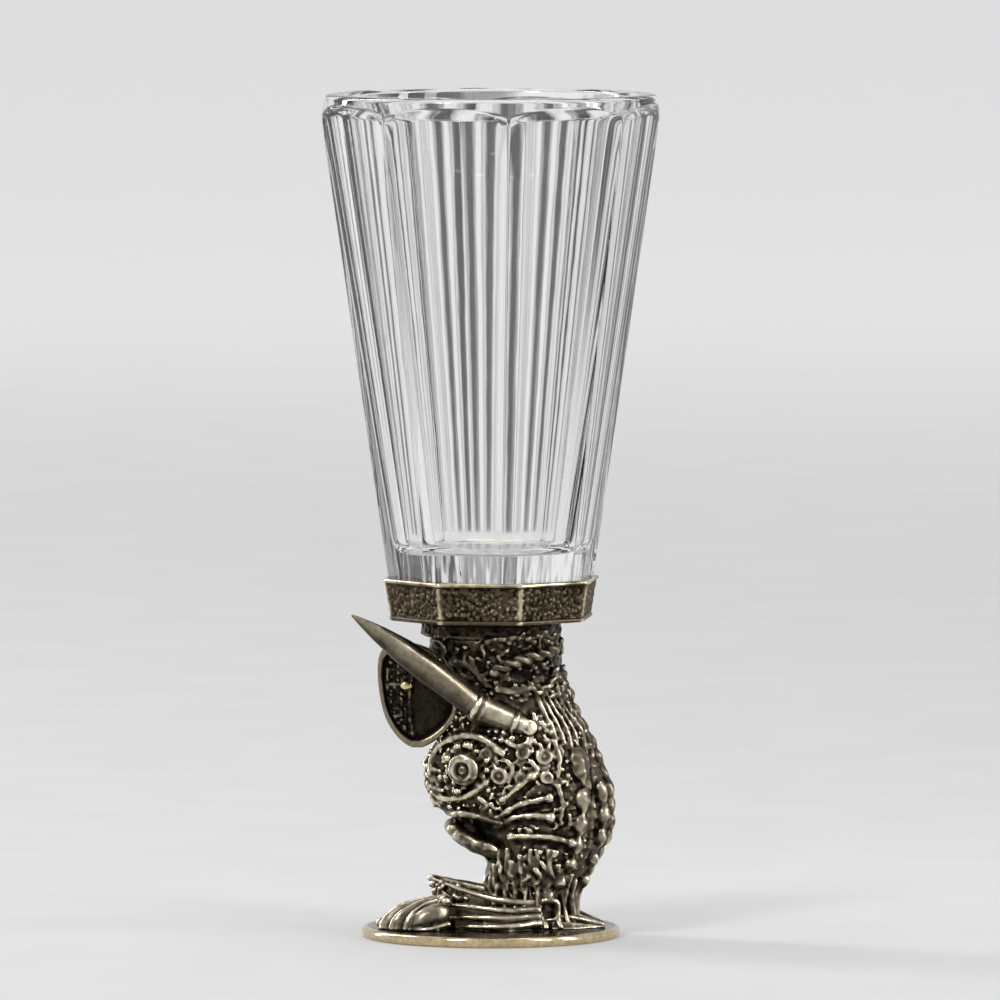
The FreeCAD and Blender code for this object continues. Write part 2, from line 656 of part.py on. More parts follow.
def make_foot_screw():
    head = Part.makeCylinder(FOOT_SCREW_HEAD_RADIUS, FOOT_SCREW_HEAD_HEIGHT, V(SPIGOT_X, 0, 0))
    return head.fuse(foot_thread(0.0)).removeSplitter().cut(hex_socket(V(SPIGOT_X, 0, 0), UP))


def make_figure(crest):
    """The figure casting: torso, jaw, eyes, scales, feelers and sleeve, cut for what it carries."""
    body = make_torso().cut(make_mouth()).fuse(make_jaw())
    for tool in (crest, foot_socket(SPIGOT_CLEARANCE), foot_thread(SCREW_CLEARANCE), collar_thread()):
        body = body.cut(tool)
    body = body.fuse(make_sleeve()).cut(tenon(TENON_CLEARANCE))
    for side in (-1, 1):
        body = body.fuse(make_scutes(side))
        for piece in make_eye(side) + make_whiskers(side):
            body = body.fuse(piece)
    return body


def report(name, shape):
    print(name, len(shape.Solids), round(shape.Volume, 1), "valid" if shape.isValid() else "NOT VALID")


def main():
    crest = make_crest()
    crest_block = Part.Face(crest_outline(0.0)).extrude(V(0, CREST_THICKNESS, 0))
    crest_block.translate(V(0, -CREST_THICKNESS / 2, 0))
    figure = make_figure(crest_block)
    foot = make_torso()
    tail = make_tail().cut(foot)
    fin = make_fin().cut(foot).cut(tail)
    shell = make_shell().cut(tail)
    parts = {
        "crystal_cup": make_cup(),
        "cup_bedding": make_bedding(),
        "collar": make_collar(),
        "collar_screw": make_collar_screw(),
        "figure_body": figure,
        "horn": make_horn(),
        "crest": crest,
        "crest_rivet": make_rivet(),
        "tail_fluke": tail,
        "side_fin": fin,
        "shell_fan": shell,
        "foot_disc": make_disc(),
        "foot_screw": make_foot_screw(),
        "foot_washer": make_washer(),
    }
    for name, shape in parts.items():
        report(name, shape)
        shape.exportStep("parts/" + name + ".step")


main()
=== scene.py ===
"""Looks of a panelled crystal shot glass on a cast bronze sea dragon.

The frame is the one that the solids share: Z up, the foot on the floor, the dragon facing -X and its
near side towards -Y. Shapes are worked out in millimetres and put into the meshes in metres.
"""
import json
import logging
import math
from dataclasses import dataclass, field
from enum import Enum
from typing import Callable, Optional, Sequence

import bpy
import numpy as np
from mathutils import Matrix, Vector

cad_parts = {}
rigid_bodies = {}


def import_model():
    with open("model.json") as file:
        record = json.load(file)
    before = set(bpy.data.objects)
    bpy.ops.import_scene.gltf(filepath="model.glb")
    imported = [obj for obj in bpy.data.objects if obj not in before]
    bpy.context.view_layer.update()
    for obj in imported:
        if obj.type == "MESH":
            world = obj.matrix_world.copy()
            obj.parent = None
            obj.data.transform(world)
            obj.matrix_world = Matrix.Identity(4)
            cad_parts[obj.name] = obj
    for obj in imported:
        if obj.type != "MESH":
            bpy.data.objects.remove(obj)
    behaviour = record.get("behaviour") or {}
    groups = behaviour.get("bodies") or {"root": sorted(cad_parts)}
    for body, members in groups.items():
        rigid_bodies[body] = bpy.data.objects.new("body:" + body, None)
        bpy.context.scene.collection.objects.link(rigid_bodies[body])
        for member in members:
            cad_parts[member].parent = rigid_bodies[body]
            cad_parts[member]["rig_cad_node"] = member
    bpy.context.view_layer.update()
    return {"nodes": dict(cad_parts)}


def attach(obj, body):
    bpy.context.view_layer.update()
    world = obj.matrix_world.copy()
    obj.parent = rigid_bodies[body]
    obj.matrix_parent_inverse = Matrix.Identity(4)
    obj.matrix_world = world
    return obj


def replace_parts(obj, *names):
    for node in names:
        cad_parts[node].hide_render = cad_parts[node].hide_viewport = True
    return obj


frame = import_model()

LOG = logging.getLogger("shot_glass")
MM = 0.001
TAU = 2.0 * math.pi
SEED = 41
SLOPE_OF_SIGHT = 0.068
ROOT = "root"

Array = np.ndarray
Skin = tuple[Array, list[Array]]
Material = bpy.types.Material
Piece = bpy.types.Object
Socket = bpy.types.NodeSocket
Point = tuple[float, float, float]
Spot = tuple[float, float]


class Side(Enum):
    """The near side faces the viewer, the far side is its mirror."""
    NEAR = -1
    FAR = 1


# ---- Meshes ----

def put_in_scene(name: str, data: bpy.types.ID) -> Piece:
    """A new object for the data, linked to the scene."""
    thing = bpy.data.objects.new(name, data)
    bpy.context.scene.collection.objects.link(thing)
    return thing


def build_mesh(name: str, points: Array, faces: Sequence[Array], material: Material,
               rub_passes: int = 12, sharp: float = 0.0) -> Piece:
    """Puts points and faces into a new mesh object at the origin.

    Args:
        name: the piece's name.
        points: (n, 3) array in millimetres.
        faces: arrays of corner numbers, one row a face; each array holds faces of one corner count.
        material: the piece's finish.
        rub_passes: how many smoothing passes the wear attribute looks across; 0 leaves it out.
        sharp: the angle in degrees past which an edge shows hard; 0 keeps all edges soft.

    Returns:
        The new object, with a wear attribute that is high where the surface stands proud; some pieces later
        get painted shade and painted highlight multiplied into it.
    """
    mesh = bpy.data.meshes.new(name)
    counts = np.concatenate([np.full(len(f), f.shape[1], np.int32) for f in faces])
    corners = np.concatenate([f.reshape(-1) for f in faces]).astype(np.int32)
    mesh.vertices.add(len(points))
    mesh.vertices.foreach_set("co", (points * MM).astype(np.float32).ravel())
    mesh.loops.add(len(corners))
    mesh.loops.foreach_set("vertex_index", corners)
    mesh.polygons.add(len(counts))
    mesh.polygons.foreach_set("loop_start", np.concatenate([[0], np.cumsum(counts)[:-1]]).astype(np.int32))
    mesh.polygons.foreach_set("use_smooth", np.ones(len(counts), bool))
    mesh.update(calc_edges=True)
    mesh.validate()
    if sharp:
        mesh.set_sharp_from_angle(angle=math.radians(sharp))
    mesh.materials.append(material)
    if rub_passes:
        add_rub(mesh, rub_passes)
    return put_in_scene(name, mesh)


def add_rub(mesh: bpy.types.Mesh, passes: int) -> None:
    """Writes the "rub" attribute: how far each vertex stands out of the surface smoothed around it.

    The smoothed place of a vertex is the mean of its neighbours, taken again and again; the drop along
    the vertex normal is measured against its own spread and put between 0 (deep) and 1 (proud).

    Args:
        mesh: the mesh to write to.
        passes: how often the mean is taken.
    """
    total = len(mesh.vertices)
    flat = np.empty(total * 3, np.float32)
    mesh.vertices.foreach_get("co", flat)
    start = flat.reshape(-1, 3).astype(np.float64)
    mesh.vertex_normals.foreach_get("vector", flat)
    normals = flat.reshape(-1, 3).astype(np.float64)
    ends = np.empty(len(mesh.edges) * 2, np.int32)
    mesh.edges.foreach_get("vertices", ends)
    one, two = ends[0::2], ends[1::2]
    here, there = np.concatenate([one, two]), np.concatenate([two, one])
    degree = np.maximum(np.bincount(here, minlength=total), 1)
    place = start.copy()
    for _ in range(passes):
        place = np.stack([np.bincount(here, place[there, k], total) / degree for k in range(3)], 1)
    proud = ((start - place) * normals).sum(1)
    spread = np.percentile(np.abs(proud), 80) + 1e-9
    layer = mesh.attributes.new("rub_and_light", "FLOAT", "POINT")
    layer.data.foreach_set("value", np.clip(0.5 + 0.35 * proud / spread, 0, 1).astype(np.float32))


def shade_rub(piece: Piece, share: Callable[[Array], Array]) -> None:
    """Multiplies the piece's wear attribute by a share of its own at each point, which paints light and shade
    into the colour: a share below one is painted shade, one above is a painted highlight.

    Args:
        piece: an object with the "rub" attribute.
        share: gives the share for an (n, 3) array of points in millimetres.
    """
    mesh = piece.data
    flat = np.empty(len(mesh.vertices) * 3, np.float32)
    mesh.vertices.foreach_get("co", flat)
    worn = np.empty(len(mesh.vertices), np.float32)
    layer = mesh.attributes["rub_and_light"]
    layer.data.foreach_get("value", worn)
    layer.data.foreach_set("value", (worn * share(flat.reshape(-1, 3) / MM)).astype(np.float32))


def grid_faces(rows: int, columns: int, wrap: bool, first: int = 0) -> Array:
    """Quads between neighbouring rows and columns of a grid of points.

    Args:
        rows: how many rows the grid has.
        columns: how many points a row has.
        wrap: whether the last column joins the first.
        first: the number of the grid's first point.

    Returns:
        An (n, 4) array of point numbers.
    """
    i = np.arange(rows - 1)[:, None]
    j = np.arange(columns if wrap else columns - 1)[None, :]
    k = (j + 1) % columns
    quads = np.stack([i * columns + j, i * columns + k, (i + 1) * columns + k, (i + 1) * columns + j], -1)
    return quads.reshape(-1, 4) + first


def closed_tube(rows: Array, start: Array, end: Array) -> Skin:
    """A closed skin from rings of points with a pole at each end.

    Args:
        rows: (r, c, 3) rings, each counter-clockwise about the direction from start to end.
        start: the pole before the first ring.
        end: the pole after the last ring.

    Returns:
        The points, and the quads with the two fans of triangles.
    """
    r, c, _ = rows.shape
    points = np.concatenate([rows.reshape(-1, 3), start[None], end[None]])
    j = np.arange(c)
    k = (j + 1) % c
    low = np.stack([np.full(c, r * c), k, j], 1)
    high = np.stack([np.full(c, r * c + 1), (r - 1) * c + j, (r - 1) * c + k], 1)
    return points, [grid_faces(r, c, True), low, high]


def spun(profile: Array, columns: int) -> Skin:
    """A turned body: the profile's radius and height carried once round the Z axis.

    Args:
        profile: (n, 2) radii and heights; the first and the last lie on the axis and become the poles.
        columns: how many points a ring has.

    Returns:
        The points and the faces.
    """
    angle = np.arange(columns) * TAU / columns
    radius, height = profile[1:-1, 0][:, None], profile[1:-1, 1][:, None]
    rings = np.stack([radius * np.cos(angle), radius * np.sin(angle), height + 0 * angle], -1)
    return closed_tube(rings, np.array([0, 0, profile[0, 1]]), np.array([0, 0, profile[-1, 1]]))


def unit(vector: Sequence[float]) -> Array:
    """The vector at length one."""
    v = np.asarray(vector, float)
    return v / np.linalg.norm(v)


def across(axis: Array) -> tuple[Array, Array]:
    """Two unit vectors square to the axis and to each other, right-handed about it."""
    helper = np.array([0.0, 0.0, 1.0]) if abs(axis[2]) < 0.9 else np.array([1.0, 0.0, 0.0])
    one = unit(np.cross(helper, axis))
    return one, np.cross(axis, one)


def span_curve(a: Array, b: Array, c: Array, d: Array, t: Array) -> Array:
    """The Catmull-Rom cubic from b (t = 0) to c (t = 1), which leaves and arrives along c - a and d - b."""
    return 0.5 * (2 * b + (c - a) * t + (2 * a - 5 * b + 4 * c - d) * t ** 2
                  + (3 * b - a - 3 * c + d) * t ** 3)


def smooth_path(knots: Sequence[Point], steps: int) -> Array:
    """A smooth curve through the knots.

    Args:
        knots: the places it goes through.
        steps: how many points each span gets.

    Returns:
        The points, an (n, 3) array.
    """
    k = np.asarray(knots, float)
    k = np.concatenate([[2 * k[0] - k[1]], k, [2 * k[-1] - k[-2]]])
    t = (np.arange(steps) / steps)[None, :, None]
    curve = span_curve(k[:-3, None], k[1:-2, None], k[2:-1, None], k[3:, None], t)
    return np.concatenate([curve.reshape(-1, 3), k[-2:-1]])


def swept(path: Array, radii: Array, columns: int) -> Skin:
    """A round body: circles square to a path, closed at both ends.

    Args:
        path: (n, 3) points of the path.
        radii: the circle's radius at each of them.
        columns: how many points a circle has.

    Returns:
        The points and the faces.
    """
    tangent = np.gradient(path, axis=0)
    tangent /= np.linalg.norm(tangent, axis=1)[:, None]
    helper = across(tangent[0])[0]
    one = np.cross(np.cross(tangent, helper), tangent)
    one /= np.linalg.norm(one, axis=1)[:, None]
    two = np.cross(tangent, one)
    angle = (np.arange(columns) * TAU / columns)[None, :, None]
    circle = one[:, None] * np.cos(angle) + two[:, None] * np.sin(angle)
    return closed_tube(path[:, None] + radii[:, None, None] * circle, path[0], path[-1])


# ---- Relief shared by the castings ----

def lattice_noise(points: Array, scale: float, seed: int) -> Array:
    """Smooth noise from -1 to 1: random values on a cubic lattice, blended with eased weights.

    Args:
        points: (..., 3) places in millimetres.
        scale: the lattice's pitch in millimetres.
        seed: the number that the draw starts from.

    Returns:
        The noise at each place.
    """
    cells = 48
    values = np.random.default_rng(seed).uniform(-1, 1, (cells, cells, cells)).astype(np.float32)
    p = points / scale + 100.0
    cell = np.floor(p).astype(int)
    f = (p - cell).astype(np.float32)
    f = f * f * (3 - 2 * f)
    total = np.zeros(p.shape[:-1], np.float32)
    for corner in range(8):
        d = np.array([corner & 1, corner >> 1 & 1, corner >> 2 & 1])
        weight = np.prod(np.where(d, f, 1 - f), -1)
        i = (cell + d) % cells
        total += weight * values[i[..., 0], i[..., 1], i[..., 2]]
    return total


def beads(u: Array, v: Array, seeds: Array, radii: Array) -> Array:
    """The height of round beads spread on a flat strip: at each point, the tallest bead over it.

    A bead is a paraboloid of one radius and half that height, so neighbours meet in sharp furrows.

    Args:
        u, v: the points' places along and up the strip.
        seeds: (n, 2) middles of the beads.
        radii: the beads' radii.

    Returns:
        The height at each point.
    """
    height = np.zeros(u.shape)
    flat_u, flat_v, flat = u.ravel(), v.ravel(), height.ravel()
    for (su, sv), radius in zip(seeds, radii):
        near = np.nonzero((np.abs(flat_u - su) < radius) & (np.abs(flat_v - sv) < radius))[0]
        away = ((flat_u[near] - su) ** 2 + (flat_v[near] - sv) ** 2) / radius ** 2
        flat[near] = np.maximum(flat[near], radius * 0.5 * np.maximum(1 - away, 0))
    return flat.reshape(u.shape)


# ---- Finishes ----

class NodeBench:
    """Adds and links shader nodes in one tree."""

    def __init__(self, tree: bpy.types.NodeTree) -> None:
        """Keeps the tree."""
        self.tree = tree

    def add(self, kind: str, inputs: Optional[dict] = None, **settings: object) -> bpy.types.Node:
        """Adds a node.

        Args:
            kind: the node's type without "ShaderNode".
            inputs: socket name or number to a value or to another node's output socket.
            settings: properties of the node.

        Returns:
            The node.
        """
        node = self.tree.nodes.new("ShaderNode" + kind)
        for key, value in settings.items():
            setattr(node, key, value)
        for key, value in (inputs or {}).items():
            if isinstance(value, Socket):
                self.tree.links.new(value, node.inputs[key])
            else:
                node.inputs[key].default_value = value
        return node

    def feed(self, node: bpy.types.Node, sources: dict) -> None:
        """Links output sockets to a node's inputs by name."""
        for label, source in sources.items():
            self.tree.links.new(source, node.inputs[label])

    def bump(self, height: object, strength: float, distance: float) -> Socket:
        """A bump of the given strength and depth in metres; returns its normal."""
        return self.add("Bump", {"Height": height, "Strength": strength, "Distance": distance}).outputs[0]

    def place(self) -> Socket:
        """The piece's own coordinates."""
        return self.add("TexCoord").outputs["Object"]

    def noise(self, place: Socket, scale: object, detail: float) -> Socket:
        """Noise at the given places; returns its value."""
        return self.add("TexNoise", {"Vector": place, "Scale": scale, "Detail": detail}).outputs[0]

    def span(self, value: Socket, low: float, high: float, start: float = 0.0, end: float = 1.0,
             smooth: bool = True) -> Socket:
        """A value carried from the range low to high over to start to end, eased if smooth."""
        return self.add("MapRange", {0: value, 1: low, 2: high, 3: start, 4: end},
                        interpolation_type="SMOOTHSTEP" if smooth else "LINEAR").outputs[0]

    def math(self, operation: str, a: object, b: object = 0.0, clamp: bool = False) -> Socket:
        """One sum, product or other operation; returns its output."""
        return self.add("Math", {0: a, 1: b}, operation=operation, use_clamp=clamp).outputs[0]

    def ramp(self, factor: object, stops: Sequence[tuple[float, tuple]]) -> Socket:
        """A colour ramp with the given stops of place and colour; returns its colour."""
        node = self.add("ValToRGB", {0: factor})
        band = node.color_ramp
        while len(band.elements) < len(stops):
            band.elements.new(0.5)
        for element, (place, colour) in zip(band.elements, stops):
            element.position = place
            element.color = (*colour, 1.0)
        return node.outputs[0]

    def mix(self, factor: object, a: object, b: object, blend: str = "MIX") -> Socket:
        """A mix of two colours; returns the result."""
        node = self.add("Mix", data_type="RGBA", blend_type=blend)
        for index, value in ((0, factor), (6, a), (7, b)):
            if isinstance(value, Socket):
                self.tree.links.new(value, node.inputs[index])
            else:
                node.inputs[index].default_value = value if index == 0 else (*value, 1.0)
        return node.outputs[2]


def make_group(name: str, inputs: Sequence[tuple[str, str, object]],
               outputs: Sequence[tuple[str, str]]) -> tuple[bpy.types.NodeTree, NodeBench, dict]:
    """Starts a shader node group.

    Args:
        name: the group's name.
        inputs: name, socket type and default of each input.
        outputs: name and socket type of each output.

    Returns:
        The tree, a bench on it, and its input sockets by name.
    """
    tree = bpy.data.node_groups.new(name, "ShaderNodeTree")
    for label, kind, value in inputs:
        socket = tree.interface.new_socket(label, in_out="INPUT", socket_type="NodeSocket" + kind)
        socket.default_value = (*value, 1.0) if kind == "Color" else value
    for label, kind in outputs:
        tree.interface.new_socket(label, in_out="OUTPUT", socket_type="NodeSocket" + kind)
    bench = NodeBench(tree)
    entry = tree.nodes.new("NodeGroupInput")
    return tree, bench, {s.name: s for s in entry.outputs if s.name}


def close_group(tree: bpy.types.NodeTree, results: dict) -> None:
    """Links the results to the group's outputs by name."""
    leave = tree.nodes.new("NodeGroupOutput")
    for name, socket in results.items():
        tree.links.new(socket, leave.inputs[name])


def patina_group() -> bpy.types.NodeTree:
    """Cast metal darkened in its hollows and rubbed bright on what stands proud.

    The wear attribute, broken up with noise, picks the colour between deep, body and worn, and the roughness
    between the two ends; a fine grain gives the height of the cast skin. Where a piece has painted shade or
    painted highlight multiplied into that attribute, it comes out here as darker or brighter colour.
    """
    tree, bench, given = make_group("Patina wear", [
        ("Deep", "Color", (0.02, 0.016, 0.012)), ("Body", "Color", (0.12, 0.1, 0.07)),
        ("Worn", "Color", (0.6, 0.52, 0.36)), ("Wear", "Float", 0.5), ("Grain Size", "Float", 900.0),
        ("Rough Deep", "Float", 0.6), ("Rough Worn", "Float", 0.25)],
        [("Color", "Color"), ("Roughness", "Float"), ("Height", "Float")])
    place = bench.place()
    rub_and_light = bench.add("Attribute", attribute_name="rub_and_light").outputs["Fac"]
    cloud = bench.noise(place, 260.0, 3.0)
    grain = bench.noise(place, given["Grain Size"], 2.0)
    broken = bench.math("ADD", rub_and_light, bench.math("MULTIPLY", bench.math("SUBTRACT", cloud, 0.5), 0.5))
    level = bench.math("ADD", broken, bench.math("SUBTRACT", given["Wear"], 0.5), clamp=True)
    low, high = bench.span(level, 0.12, 0.5), bench.span(level, 0.5, 0.92)
    colour = bench.mix(high, bench.mix(low, given["Deep"], given["Body"]), given["Worn"])
    speck = bench.span(grain, 0.3, 0.7, 0.8, 1.2, smooth=False)
    tint = bench.add("VectorMath", {0: colour, 1: speck}, operation="MULTIPLY").outputs[0]
    blend = bench.math("MULTIPLY", high, bench.math("SUBTRACT", given["Rough Worn"], given["Rough Deep"]))
    rough = bench.math("ADD", bench.math("ADD", given["Rough Deep"], blend),
                       bench.math("MULTIPLY", bench.math("SUBTRACT", cloud, 0.5), 0.22), clamp=True)
    close_group(tree, {"Color": tint, "Roughness": rough, "Height": grain})
    return tree


def streak_group() -> bpy.types.NodeTree:
    """Fine streaks: noise drawn out along one axis, as on ground glass or a scraped spindle.

    The three stretch inputs scale the coordinates; a small one gives long streaks along that axis.
    """
    tree, bench, given = make_group("Fine streaks", [
        ("Stretch", "Vector", (1.0, 1.0, 0.1)), ("Scale", "Float", 300.0)],
        [("Height", "Float")])
    place = bench.place()
    drawn = bench.add("VectorMath", {0: place, 1: given["Stretch"]}, operation="MULTIPLY").outputs[0]
    close_group(tree, {"Height": bench.noise(drawn, given["Scale"], 2.0)})
    return tree


def seen_rays(bench: NodeBench) -> Socket:
    """One for the rays that show a surface, from the lens, a mirror or through glass, and zero for light."""
    path = bench.add("LightPath")
    bright = bench.math("MAXIMUM", path.outputs["Is Glossy Ray"], path.outputs["Is Transmission Ray"])
    return bench.math("MAXIMUM", path.outputs["Is Camera Ray"], bright)


def first_gloss(bench: NodeBench) -> Socket:
    """One for a reflection seen straight in metal or on a glass face, and zero for every other ray."""
    path = bench.add("LightPath")
    return bench.math("MULTIPLY", path.outputs["Is Glossy Ray"],
                      bench.math("LESS_THAN", path.outputs["Ray Depth"], 1.5))


def new_material(name: str, constants: dict) -> tuple[Material, NodeBench, bpy.types.Node]:
    """A node material with a Principled shader.

    Args:
        name: the material's name.
        constants: values for the shader's own sockets, by name.

    Returns:
        The material, a bench on its tree and the shader.
    """
    material = bpy.data.materials.new(name)
    material.use_nodes = True
    tree = material.node_tree
    shader = tree.nodes["Principled BSDF"]
    for label, value in constants.items():
        shader.inputs[label].default_value = value
    return material, NodeBench(tree), shader


@dataclass(frozen=True)
class BronzeFinish:
    """Bronze with patina: three colours, how much is rubbed, and the roughness of its two ends."""
    name: str
    deep: tuple
    body: tuple
    worn: tuple
    wear: float = 0.5
    rough_deep: float = 0.6
    rough_worn: float = 0.25
    grain_size: float = 900.0
    grain_depth: float = 0.25

    def material(self, groups: dict[str, bpy.types.NodeTree]) -> Material:
        """Builds the material from the patina group."""
        material, bench, shader = new_material(self.name, {"Metallic": 1.0})
        patina = bench.add("Group", node_tree=groups["patina"])
        for label, value in (("Deep", (*self.deep, 1)), ("Body", (*self.body, 1)), ("Worn", (*self.worn, 1)),
                             ("Wear", self.wear), ("Grain Size", self.grain_size),
                             ("Rough Deep", self.rough_deep), ("Rough Worn", self.rough_worn)):
            patina.inputs[label].default_value = value
        bench.feed(shader, {"Base Color": patina.outputs["Color"], "Roughness": patina.outputs["Roughness"],
                            "Normal": bench.bump(patina.outputs["Height"], self.grain_depth, 0.0002)})
        return material


@dataclass(frozen=True)
class CrystalFinish:
    """Clear cut crystal with faint upright polishing streaks, deeper on the foot inside the collar."""
    name: str = "crystal"
    index: float = 1.54
    streak_depth: float = 0.08
    foot_share: float = 7.0
    foot_from: float = 0.0556
    foot_to: float = 0.064

    def material(self, groups: dict[str, bpy.types.NodeTree]) -> Material:
        """Builds the glass."""
        material, bench, shader = new_material(self.name, {
            "Base Color": (1, 1, 1, 1), "Roughness": 0.0, "IOR": self.index, "Transmission Weight": 1.0})
        streaks = bench.add("Group", {"Scale": 420.0}, node_tree=groups["streaks"])
        streaks.inputs["Stretch"].default_value = (1.0, 1.0, 0.03)
        place = bench.place()
        level = bench.add("SeparateXYZ", {0: place}).outputs[2]
        more = bench.span(level, self.foot_from, self.foot_to, self.foot_share, 1.0, smooth=False)
        height = bench.math("MULTIPLY", streaks.outputs[0], more)
        bench.feed(shader, {"Normal": bench.bump(height, self.streak_depth, 0.0002)})
        return material


@dataclass(frozen=True)
class SteelFinish:
    """Turned screw steel with fine rings of tool marks and a little tarnish."""
    name: str = "screw_steel"

    def material(self, groups: dict[str, bpy.types.NodeTree]) -> Material:
        """Builds the steel from streaks drawn out across the thread."""
        material, bench, shader = new_material(self.name, {"Metallic": 1.0, "Roughness": 0.34})
        streaks = bench.add("Group", {"Scale": 900.0}, node_tree=groups["streaks"])
        streaks.inputs["Stretch"].default_value = (0.05, 0.05, 1.0)
        colour = bench.ramp(streaks.outputs[0], [(0.3, (0.32, 0.32, 0.33)), (0.7, (0.62, 0.62, 0.63))])
        bench.feed(shader, {"Base Color": colour, "Normal": bench.bump(streaks.outputs[0], 0.3, 0.0001)})
        return material


@dataclass(frozen=True)
class ResinFinish:
    """The milky bedding under the glass, slightly cloudy with small bubbles."""
    name: str = "bedding_resin"

    def material(self, groups: dict[str, bpy.types.NodeTree]) -> Material:
        """Builds the resin from a cloud of noise and a fine bump."""
        material, bench, shader = new_material(self.name, {"Roughness": 0.35})
        place = bench.place()
        cloud = bench.noise(place, 1100.0, 3.0)
        colour = bench.ramp(cloud, [(0.32, (0.5, 0.5, 0.51)), (0.66, (0.8, 0.8, 0.8))])
        bench.feed(shader, {"Base Color": colour, "Normal": bench.bump(cloud, 0.2, 0.0002)})
        return material


# ---- Sculpting: a field of distances, joined and carved, then skinned ----

class Clay:
    """A block of distances on an even grid: negative inside the casting, positive outside."""

    def __init__(self, low: Point, high: Point, step: float) -> None:
        """Lays out an empty block between two corners, in millimetres."""
        self.low, self.step = np.array(low, float), step
        self.shape = tuple(int(math.ceil((b - a) / step)) + 1 for a, b in zip(low, high))
        self.axes = [low[k] + step * np.arange(self.shape[k]) for k in range(3)]
        self.values = np.full(self.shape, 9.0, np.float32)

    def window(self, low: Array, high: Array) -> Optional[tuple]:
        """Finds the part of the block that covers a box.

        Args:
            low, high: the box's corners.

        Returns:
            The slices and the coordinates along X, Y and Z in them, or None where the box misses the block.
        """
        first = np.maximum(np.floor((low - self.low) / self.step).astype(int), 0)
        last = np.minimum(np.ceil((high - self.low) / self.step).astype(int) + 1, self.shape)
        if np.any(last <= first):
            return None
        cut = tuple(slice(a, b) for a, b in zip(first, last))
        x, y, z = (self.axes[k][cut[k]] for k in range(3))
        return cut, x[:, None, None], y[None, :, None], z[None, None, :]

    def blend(self, cut: tuple, distance: Array, soft: float, carve: bool) -> None:
        """Joins a shape to the block, or carves it out, with a rounded seam.

        Args:
            cut: the slices to change.
            distance: the shape's distance in them.
            soft: how wide the seam's rounding is.
            carve: whether the shape is taken away.
        """
        old = self.values[cut]
        sign = -1.0 if carve else 1.0
        a, b = sign * old, distance
        h = np.maximum(soft - np.abs(a - b), 0.0) / max(soft, 1e-6)
        self.values[cut] = sign * (np.minimum(a, b) - h * h * soft * 0.25)

    def blob(self, centre: Sequence[float], radii: Sequence[float] | float,
             frame_axes: Optional[Array] = None, soft: float = 0.4, carve: bool = False) -> None:
        """An ellipsoid: the length of the scaled place, less one, over its slope.

        Args:
            centre, radii: its middle and its three half sizes, or one for a ball.
            frame_axes: its own three axes as rows; upright if left out.
            soft, carve: as for blend.
        """
        c, r = np.asarray(centre, float), np.broadcast_to(np.asarray(radii, float), 3)
        reach = float(r.max()) + soft + 2 * self.step
        seen = self.window(c - reach, c + reach)
        if seen is None:
            return
        cut, x, y, z = seen
        axes = np.eye(3) if frame_axes is None else frame_axes
        d = [x - c[0], y - c[1], z - c[2]]
        p = [axes[k][0] * d[0] + axes[k][1] * d[1] + axes[k][2] * d[2] for k in range(3)]
        one = np.sqrt(sum((p[k] / r[k]) ** 2 for k in range(3)))
        two = np.sqrt(sum((p[k] / r[k] ** 2) ** 2 for k in range(3))) + 1e-6
        self.blend(cut, (one * (one - 1) / two).astype(np.float32), soft, carve)

    def strand(self, path: Sequence[Array], radii: Sequence[float], soft: float = 0.3,
               carve: bool = False) -> None:
        """A bent rod: on each span, the distance to the line less a radius that runs between its ends.

        Args:
            path: (n, 3) points of the rod's middle line.
            radii: its radius at each of them.
            soft, carve: as for blend.
        """
        path = np.asarray(path, float)
        widest = float(np.max(radii)) + soft + 2 * self.step
        seen = self.window(path.min(0) - widest, path.max(0) + widest)
        if seen is None:
            return
        cut, x, y, z = seen
        best = np.full(np.broadcast_shapes(x.shape, y.shape, z.shape), 9.0, np.float32)
        for a, b, ra, rb in zip(path[:-1], path[1:], radii[:-1], radii[1:]):
            ab = b - a
            px, py, pz = x - a[0], y - a[1], z - a[2]
            t = np.clip((px * ab[0] + py * ab[1] + pz * ab[2]) / max(float(ab @ ab), 1e-9), 0, 1)
            d = np.sqrt((px - t * ab[0]) ** 2 + (py - t * ab[1]) ** 2 + (pz - t * ab[2]) ** 2)
            best = np.minimum(best, d - (ra + (rb - ra) * t))
        self.blend(cut, best, soft, carve)

    def ring(self, centre: Sequence[float], axis: Array, radius: float, thick: float,
             soft: float = 0.25, carve: bool = False) -> None:
        """A torus: the distance to a circle square to the axis, less the thickness.

        Args:
            centre, axis: the circle's middle and unit axis.
            radius, thick: the circle's radius and the ring's own.
            soft, carve: as for blend.
        """
        c = np.asarray(centre, float)
        reach = radius + thick + soft + 2 * self.step
        seen = self.window(c - reach, c + reach)
        if seen is None:
            return
        cut, x, y, z = seen
        px, py, pz = x - c[0], y - c[1], z - c[2]
        along = px * axis[0] + py * axis[1] + pz * axis[2]
        out = np.sqrt(np.maximum(px * px + py * py + pz * pz - along ** 2, 0))
        self.blend(cut, (np.sqrt((out - radius) ** 2 + along ** 2) - thick).astype(np.float32), soft, carve)

    def ruffle(self, relief: Callable[[Array], Array], reach: float = 1.2) -> None:
        """Adds a relief to the field near the surface.

        Args:
            relief: gives the rise in millimetres for an (n, 3) array of places.
            reach: how far from the surface the field is changed.
        """
        near = np.nonzero(np.abs(self.values) < reach)
        places = np.stack([self.axes[k][near[k]] for k in range(3)], -1)
        self.values[near] -= relief(places).astype(np.float32)

